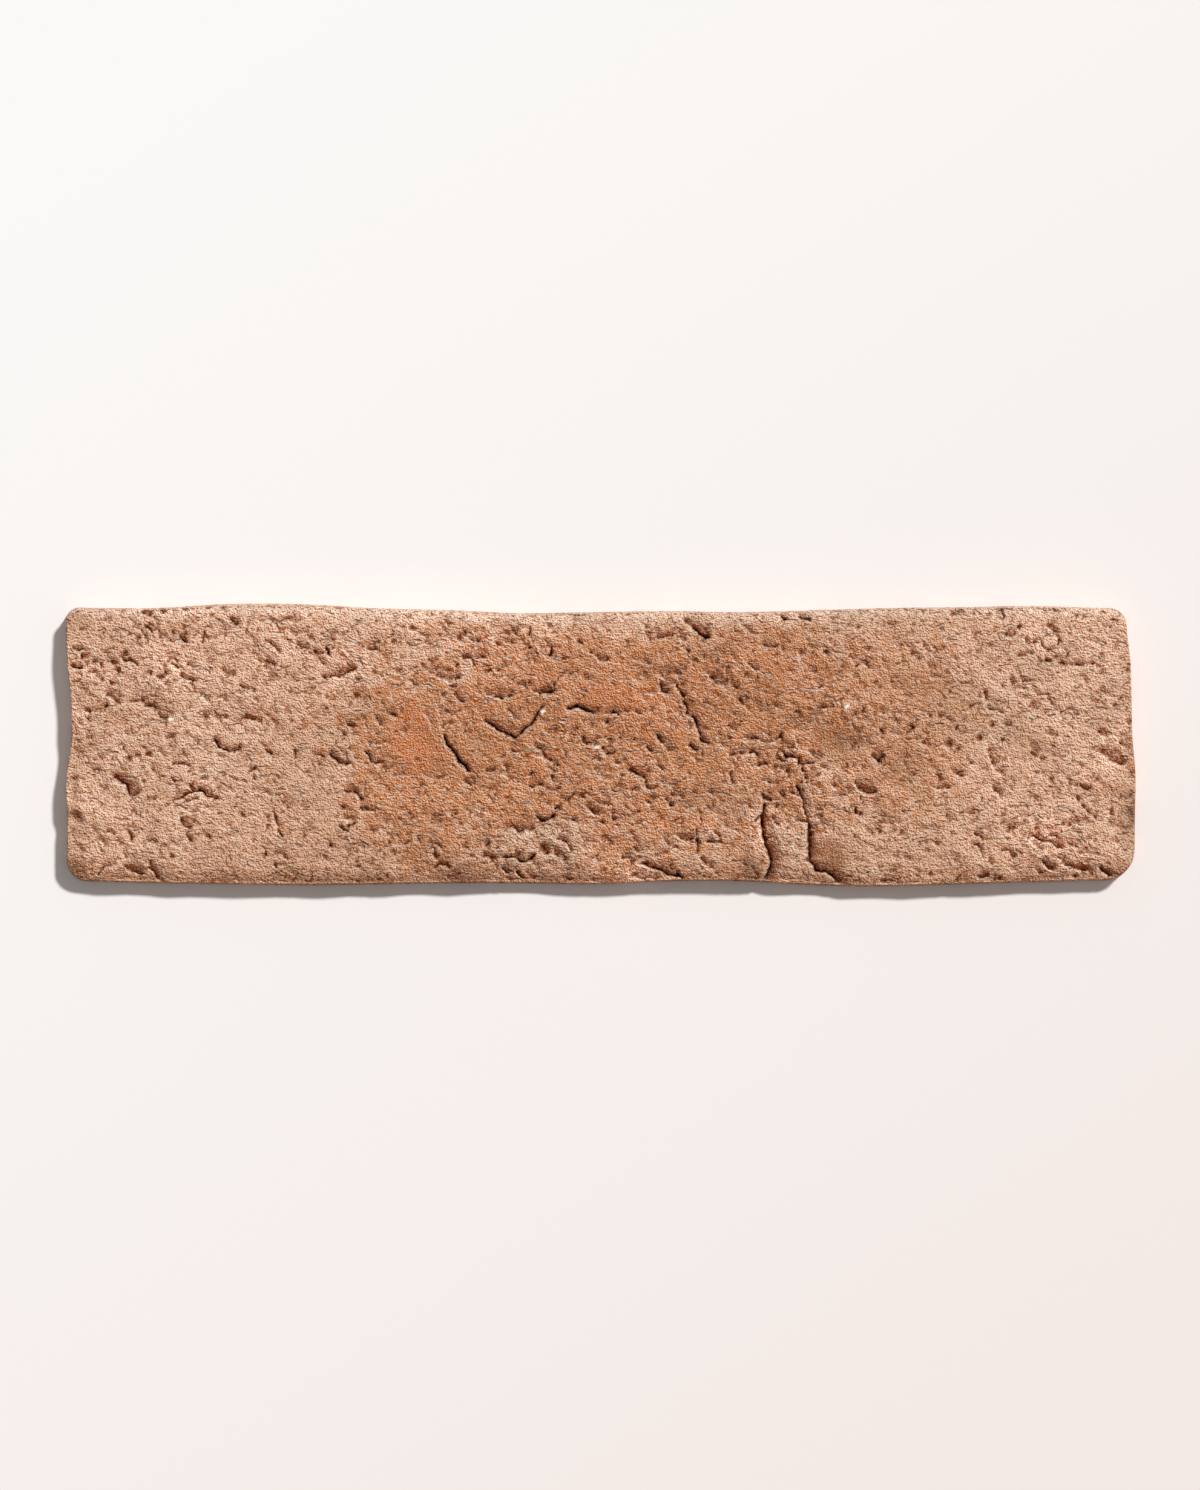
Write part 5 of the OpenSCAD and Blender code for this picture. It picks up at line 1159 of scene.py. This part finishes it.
painted_light_x, painted_light_y = math.cos(PAINTED_LIGHT_TURN), math.sin(PAINTED_LIGHT_TURN)
rise_x, rise_y = slope_of(soften(height, 0.3))
towards = -(rise_x * painted_light_x + rise_y * painted_light_y)
shaded = np.zeros_like(x)
for steps in range(1, LONGEST_SHADOW + 1):  # painted shadow: is there ground in the painted light's way?
    over, up = round(steps * painted_light_x), round(steps * painted_light_y)
    ahead = np.pad(height, ((0, up), (0, over)), mode="edge")[up:, over:]
    fallen = math.hypot(over, up) * CELL * PAINTED_LIGHT_STEEPNESS
    shaded = np.maximum(shaded, ahead - height - fallen)
print("slope towards the scan's light: middle half from",
      *np.percentile(towards, (25, 75)).round(2))

# %% All colour fields
row_in = np.arange(ROWS + 1)[:, None] * CELL * np.ones_like(x)
fields = {
    "tone": tone,
    "warm": ovals(WARM, ragged=0.5),
    "flash": ovals(FLASHES),
    "cream": ovals(CREAM),
    "stain": ovals(STAINS),
    # painted shade in creases, where a place lies below its neighbours
    "crease_shade": np.clip(below / 0.6, 0, 1) * smooth_step(1.5, 3.5, from_rim),
    # painted highlight on clods that stand above their neighbours
    "raised_highlight": np.clip(above / 0.35, 0, 1),
    # painted shade on the ground that sinks to a crack, and in hollows
    "sunk": np.clip(sink_depth / 0.5 + 0.2 * hollow_depth, 0, 1),
    # painted shade on slopes turned from the painted light, painted highlight on slopes turned to
    # it
    "lee_shade": np.clip(-towards, 0, 1),
    "lip_highlight": np.clip(towards, 0, 1),
    # painted shadow where a fold stands in the painted light's way
    "shaded": smooth_step(0, 0.3, shaded),
    # painted shade in cracks and creases, darkest in the deepest
    "line": smooth_step(0.15, 0.9, crack_depth),
    "crack": smooth_step(0.7, 1.7, crack_depth),
    # painted shade in the pits
    "pit": smooth_step(0.2, 0.7, pit_depth),
    "grainy": np.clip(0.85 + 0.15 * broken - 0.5 * wiped, 0.3, 1),
    # painted shade along the front arris, darker towards the front edge
    "front": smooth_step(7, 0, row_in),
    # painted highlight along the back arris, paler towards the back edge
    "back": smooth_step(6, 0, row_in[::-1]),
    "grit": grit,
}
print("colour fields:", {name: round(float(field.mean()), 3) for name, field in fields.items()})

# %% Keep them on the mesh
spots = np.zeros(len(tile_mesh.vertices), dtype=np.int32)
tile_mesh.attributes["place"].data.foreach_get("value", spots)
for name, field in fields.items():
    values = np.where(spots > 0, field.ravel()[spots - 1], 0).astype(np.float32)
    tile_mesh.attributes.new(name, "FLOAT", "POINT").data.foreach_set("value", values)
print("attributes:", len(tile_mesh.attributes))

# %% [markdown]
# ## Unglazed porcelain stoneware
#
# The body is fired until it is dense, but it has no glaze, and its skin is pressed
# from a sanded mould. To the eye it is dull and dry, so it has a high roughness and a
# weak highlight. Sand and flakes too fine for the grid are noises. Each is read at two
# places a little apart, in line with the side the painted light comes from: where it
# falls towards that side it gets a paler painted highlight, and where it rises, browner
# painted shade. Flake hollows get painted shade and their lips a painted highlight. A
# slight bump lies on the same noises, so that the sand still answers to the lamp. Real
# sand grains are 0.2 to 0.5 mm, and they are drawn 0.4 to 0.7 mm wide, as coarse as
# they need to be to show.

# %% Colour and node helpers


def paint(code):
    """An sRGB hex colour as Blender's linear RGBA."""
    parts = [int(code[k:k + 2], 16) / 255 for k in (1, 3, 5)]
    return [c / 12.92 if c <= 0.04045 else ((c + 0.055) / 1.055) ** 2.4 for c in parts] + [1]


def add_node(material, kind, settings=None, links=None):
    """Adds a node. Settings name properties or sockets, links say what feeds a socket."""
    node = material.node_tree.nodes.new(kind)
    for name, value in (settings or {}).items():
        if isinstance(name, str) and hasattr(node, name):
            setattr(node, name, value)
        else:
            node.inputs[name].default_value = value
    for name, source in (links or {}).items():
        material.node_tree.links.new(source, node.inputs[name])
    return node


# %% Fired clay: what lies in it
BLOTCH = 7  # mm, patches of browner clay
FLECK = 2.2  # mm, patches where the skin has flaked

clay = bpy.data.materials.new("unglazed_porcelain_stoneware")
clay.use_nodes = True
shader = clay.node_tree.nodes["Principled BSDF"]
where = add_node(clay, "ShaderNodeTexCoord").outputs["Object"]
field = {
    name: add_node(clay, "ShaderNodeAttribute", {"attribute_name": name}).outputs["Fac"]
    for name in fields}
blotch, fleck = [
    add_node(clay, "ShaderNodeTexNoise", {"Scale": 1 / (size * MM), "Detail": detail},
             {"Vector": where}).outputs["Fac"]
    for size, detail in ((BLOTCH, 4.0), (FLECK, 3.0))]
print("fields read by the clay:", len(field))

# %% Fired clay: sand and dust
SAND = 0.68  # mm, from one dip in the sandy skin to the next
DUST = 0.4  # mm
GRAIN = 0.6  # mm
SAND_TURN = -36  # degrees, the way the sand was combed
COMBED = 0.6  # how much closer grains lie across that way than along it
SHIFT = 0.2  # mm, how far apart two readings tell a grain's lit side from its lee

beside = add_node(clay, "ShaderNodeVectorMath", {1: (SHIFT * MM * painted_light_x, SHIFT * MM * painted_light_y, 0)},
                  {0: where}).outputs["Vector"]
combed = [
    add_node(clay, "ShaderNodeMapping",
             {"Rotation": (0, 0, math.radians(-SAND_TURN)), "Scale": (COMBED, 1, 1)},
             {"Vector": place}).outputs["Vector"]
    for place in (where, beside)]
sand, sand_beside = [
    add_node(clay, "ShaderNodeTexNoise",
             {"Scale": 1 / (SAND * MM), "Detail": 1.0, "Roughness": 0.4},
             {"Vector": place}).outputs["Fac"]
    for place in combed]
dust, dust_beside = [
    add_node(clay, "ShaderNodeTexNoise", {"Scale": 1 / (DUST * MM), "Detail": 0.0},
             {"Vector": place}).outputs["Fac"]
    for place in (where, beside)]
# the fall between the two readings decides each grain's painted highlight and painted shade
sand_painted_shading, dust_painted_shading = [
    add_node(clay, "ShaderNodeMath", {"operation": "SUBTRACT"}, {0: here, 1: there}).outputs[0]
    for here, there in ((sand, sand_beside), (dust, dust_beside))]
sand_painted_shading = add_node(clay, "ShaderNodeMath", {"operation": "MULTIPLY"},
                     {0: sand_painted_shading, 1: field["grainy"]}).outputs[0]
grain = add_node(clay, "ShaderNodeTexVoronoi", {"Scale": 1 / (GRAIN * MM)}, {"Vector": where})
grain_tone = add_node(clay, "ShaderNodeSeparateColor", {}, {"Color": grain.outputs["Color"]})
print("sand", SAND, "mm, dust", DUST, "mm, grains", GRAIN, "mm")

# %% Fired clay: flakes too fine for the mesh
FLAKES = [
    # mm across, and how many edges lie in the noise's range
    (4.2, 7), (2.2, 4.5),
]
flaked = add_node(clay, "ShaderNodeMapRange", {"From Min": 0.46, "From Max": 0.56},
                  {"Value": fleck}).outputs["Result"]
flake_depths, flake_highlights = [], []
for size, count in FLAKES:
    here, there = [
        add_node(clay, "ShaderNodeTexNoise",
                 {"Scale": 1 / (size * MM), "Detail": 1.5, "Roughness": 0.5},
                 {"Vector": place}).outputs["Fac"]
        for place in combed]
    # flakes are kept only where they rise towards the painted light's side
    rise = add_node(clay, "ShaderNodeMath", {"operation": "SUBTRACT"}, {0: there, 1: here})
    facing = add_node(clay, "ShaderNodeMapRange", {"From Min": 0.0, "From Max": 0.03 / size},
                      {"Value": rise.outputs[0]}).outputs["Result"]
    seen = facing
    for share in (flaked, field["grainy"]):
        seen = add_node(clay, "ShaderNodeMath", {"operation": "MULTIPLY"},
                        {0: seen, 1: share}).outputs[0]
    many = add_node(clay, "ShaderNodeMath", {"operation": "MULTIPLY", 1: count}, {0: here})
    past = add_node(clay, "ShaderNodeMath", {"operation": "FRACT"},
                    {0: many.outputs[0]}).outputs[0]
    ahead = add_node(clay, "ShaderNodeMath", {"operation": "SUBTRACT", 0: 1.0},
                     {1: past}).outputs[0]
    # a flake is deepest just past its edge, where it is also given painted shade, and a painted
    # highlight stands just before the next edge
    for edge, sharpness, kept in ((ahead, 3.0, flake_depths), (past, 5.0, flake_highlights)):
        shape = add_node(clay, "ShaderNodeMath", {"operation": "POWER", 1: sharpness}, {0: edge})
        kept.append(add_node(clay, "ShaderNodeMath", {"operation": "MULTIPLY"},
                             {0: shape.outputs[0], 1: seen}).outputs[0])
print("kinds of flake:", len(FLAKES))

# %% Fired clay: the colours, each laid over those before it
LAYERS = [
    # what lies there, its colour, and the pattern values at which it is absent and full
    (field["warm"], "#CC8456", 0, 1),
    (blotch, "#C08460", 0.46, 2.6),
    # painted shade along the front arris
    (field["front"], "#A8643E", 0, 2.2),
    # painted highlight along the back arris
    (field["back"], "#FFDCC0", 0, 1.4),
    (field["flash"], "#C8744A", 0, 1.3),
    (field["cream"], "#E6C2A0", 0, 1.4),
    (field["stain"], "#7E4A28", 0, 1.2),
    # painted shade on sinking ground and in hollows
    (field["sunk"], "#9A4A22", 0, 4.0),
    # painted shade in creases
    (field["crease_shade"], "#8A4420", 0, 1.6),
    # painted highlight on raised clods
    (field["raised_highlight"], "#E2CEB6", 0, 2.2),
    # painted shade on the lee of each slope, painted highlight on the side facing the painted light
    (field["lee_shade"], "#8A4420", 0.03, 0.74),
    (field["lip_highlight"], "#E2CEB6", 0.05, 1.25),
    # painted shade and painted highlight on the sand and dust grains
    (sand_painted_shading, "#8A4420", 0, -0.21),
    (sand_painted_shading, "#E6D4BE", 0, 0.41),
    (dust_painted_shading, "#8A4420", 0, -0.26),
    (dust_painted_shading, "#E6D4BE", 0, 0.5),
    # painted shade in flake hollows, then painted highlight on flake lips
    *((depth, "#7E3A1A", 0.05, 0.8) for depth in flake_depths),
    *((lip_highlight, "#E6D4BE", 0.1, 1.5) for lip_highlight in flake_highlights),
    # painted shadow cast by the folds
    (field["shaded"], "#7A3A1A", 0, 1.35),
    (grain_tone.outputs[0], "#FFDCC0", 0.75, 2.2),
    (grain_tone.outputs[1], "#8A4629", 0.75, 2.2),
    # painted shade in the pits
    (field["pit"], "#6B2C10", 0, 1.3),
    # painted shade in creases and cracks, near black in the deepest
    (field["line"], "#6C2E12", 0, 1.5),
    (field["crack"], "#381607", 0, 1.1),
]
BARE_CLAY = paint("#EEB994")  # the body's own colour, under all the inks

colour = None
for pattern, code, absent, full in LAYERS:
    amount = add_node(clay, "ShaderNodeMapRange", {"From Min": absent, "From Max": full},
                      {"Value": pattern})
    layer = add_node(clay, "ShaderNodeMix", {"data_type": "RGBA", 6: BARE_CLAY, 7: paint(code)},
                     {0: amount.outputs["Result"]})
    if colour:
        clay.node_tree.links.new(colour, layer.inputs[6])
    colour = layer.outputs[2]
print("layers of ink:", len(LAYERS))

# %% Fired clay: broad tones, and painted bounce light in the shade
# paler and browner patches 3 to 15 mm wide darken and lighten all inks alike; they are partly the
# clay's own tone and partly painted light and shade over broad swells
brightness = add_node(clay, "ShaderNodeMapRange",
                      {"From Min": -1.6, "From Max": 1.6, "To Min": 0.4, "To Max": 1.6},
                      {"Value": field["tone"]}).outputs["Result"]
toned = add_node(clay, "ShaderNodeHueSaturation", {},
                  {"Color": colour, "Value": brightness}).outputs["Color"]
# painted bounce light: the darker a colour, the more saturated it is made, and the paler, the less,
# as light bounced between red clay walls reddens shade
paleness = add_node(clay, "ShaderNodeRGBToBW", {}, {"Color": toned}).outputs["Val"]
richness = add_node(clay, "ShaderNodeMapRange",
                    {"From Min": 0.3, "From Max": 0.6, "To Min": 1.12, "To Max": 0.83},
                    {"Value": paleness}).outputs["Result"]
richer_in_shade = add_node(clay, "ShaderNodeHueSaturation", {},
                 {"Color": toned, "Saturation": richness}).outputs["Color"]
gritty = add_node(clay, "ShaderNodeMix", {"data_type": "RGBA", 7: paint("#FFF6E8")},
                  {0: field["grit"], 6: richer_in_shade}).outputs[2]
clay.node_tree.links.new(gritty, shader.inputs["Base Color"])
shader.inputs["Roughness"].default_value = 0.88
shader.inputs["Specular IOR Level"].default_value = 0.1

# %% Fired clay: sand in the skin
GRAIN_DEPTH = 0.08  # mm
DUST_DEPTH = 0.1  # mm
SAND_DEPTH = 0.2  # mm
FLAKE_DEPTH = 0.17  # mm

grain_bump = add_node(clay, "ShaderNodeBump", {"Distance": -GRAIN_DEPTH * MM},
                      {"Height": grain.outputs["Distance"], "Strength": field["grainy"]})
dust_bump = add_node(clay, "ShaderNodeBump", {"Distance": DUST_DEPTH * MM},
                     {"Height": dust, "Normal": grain_bump.outputs["Normal"]})
sand_bump = add_node(clay, "ShaderNodeBump", {"Distance": SAND_DEPTH * MM},
                     {"Height": sand, "Strength": field["grainy"],
                      "Normal": dust_bump.outputs["Normal"]})
skin_normal = sand_bump.outputs["Normal"]
for depth in flake_depths:
    skin_normal = add_node(clay, "ShaderNodeBump", {"Distance": -FLAKE_DEPTH * MM},
                           {"Height": depth, "Normal": skin_normal}).outputs["Normal"]
clay.node_tree.links.new(skin_normal, shader.inputs["Normal"])
tile_mesh.materials.append(clay)
print("clay nodes:", len(clay.node_tree.nodes))

# %% [markdown]
# ## Floor, light and camera
#
# The tile lies on a warm white floor, a little darker and pinker towards the front right.
# One large soft lamp stands high to the back right, as a studio flash does, and throws a
# short shadow to the front left. The world fills the rest. Together they add up to full
# light on a level white card, so a colour renders about as it is written.

# %% Floor
FLOOR_REACH = 3.0  # metres

floor_mesh = bpy.data.meshes.new("floor")
plane = bmesh.new()
bmesh.ops.create_grid(plane, x_segments=1, y_segments=1, size=FLOOR_REACH)
plane.to_mesh(floor_mesh)
plane.free()
floor = bpy.data.objects.new("floor", floor_mesh)
bpy.context.scene.collection.objects.link(floor)

paper = bpy.data.materials.new("warm_white_paper")
paper.use_nodes = True
paper_where = add_node(paper, "ShaderNodeTexCoord").outputs["Object"]
# the floor's colour runs from #FBF9F7 at the back left to #F3E9E5 at the front right
paper_slope = add_node(paper, "ShaderNodeVectorMath",
                       {"operation": "DOT_PRODUCT", 1: (0.55, -0.83, 0)},
                       {0: paper_where}).outputs["Value"]
paper_share = add_node(paper, "ShaderNodeMapRange", {"From Min": -0.2, "From Max": 0.22},
                       {"Value": paper_slope}).outputs["Result"]
paper_colour = add_node(paper, "ShaderNodeMix",
                        {"data_type": "RGBA", 6: paint("#FBF9F7"), 7: paint("#F3E9E5")},
                        {0: paper_share}).outputs[2]
paper_shader = paper.node_tree.nodes["Principled BSDF"]
paper.node_tree.links.new(paper_colour, paper_shader.inputs["Base Color"])
paper_shader.inputs["Roughness"].default_value = 1.0
paper_shader.inputs["Specular IOR Level"].default_value = 0.0
floor_mesh.materials.append(paper)
print("floor:", 2 * FLOOR_REACH, "metres wide")

# %% Light
KEY_SHARE = 0.72  # of the light on a level white card, the rest is the world's
KEY_TURN = math.radians(48)  # from +X towards +Y
KEY_HEIGHT = math.radians(49)  # above the floor
KEY_WIDTH = math.radians(6)  # how wide the lamp looks, which softens its shadow

key = bpy.data.lights.new("key", "SUN")
key.energy = math.pi * KEY_SHARE / math.sin(KEY_HEIGHT)
key.angle = KEY_WIDTH
key_lamp = bpy.data.objects.new("key", key)
key_from = Vector((math.cos(KEY_TURN) * math.cos(KEY_HEIGHT),
                   math.sin(KEY_TURN) * math.cos(KEY_HEIGHT), math.sin(KEY_HEIGHT)))
key_lamp.rotation_euler = key_from.to_track_quat("Z", "Y").to_euler()
bpy.context.scene.collection.objects.link(key_lamp)
world = bpy.data.worlds.new("studio")
bpy.context.scene.world = world
world.use_nodes = True
world.node_tree.nodes["Background"].inputs["Color"].default_value = (1, 1, 1, 1)
world.node_tree.nodes["Background"].inputs["Strength"].default_value = 1 - KEY_SHARE
print("key", round(key.energy, 2), "fill", round(1 - KEY_SHARE, 2))

# %% Camera
SEEN_HEIGHT = 388.4 * MM  # what the picture's long side takes in
CAMERA_HEIGHT = 2.0  # metres, far enough to see the sides almost edge on
CAMERA_X = -0.2 * MM

camera = bpy.data.cameras.new("camera")
camera.lens = camera.sensor_width * (CAMERA_HEIGHT - THICKNESS * MM) / SEEN_HEIGHT
camera.clip_end = 20
camera_object = bpy.data.objects.new("camera", camera)
camera_object.location = (CAMERA_X, 0, CAMERA_HEIGHT)
bpy.context.scene.collection.objects.link(camera_object)
bpy.context.scene.camera = camera_object
bpy.context.scene.view_settings.view_transform = "Standard"
print("lens", round(camera.lens, 1), "mm")
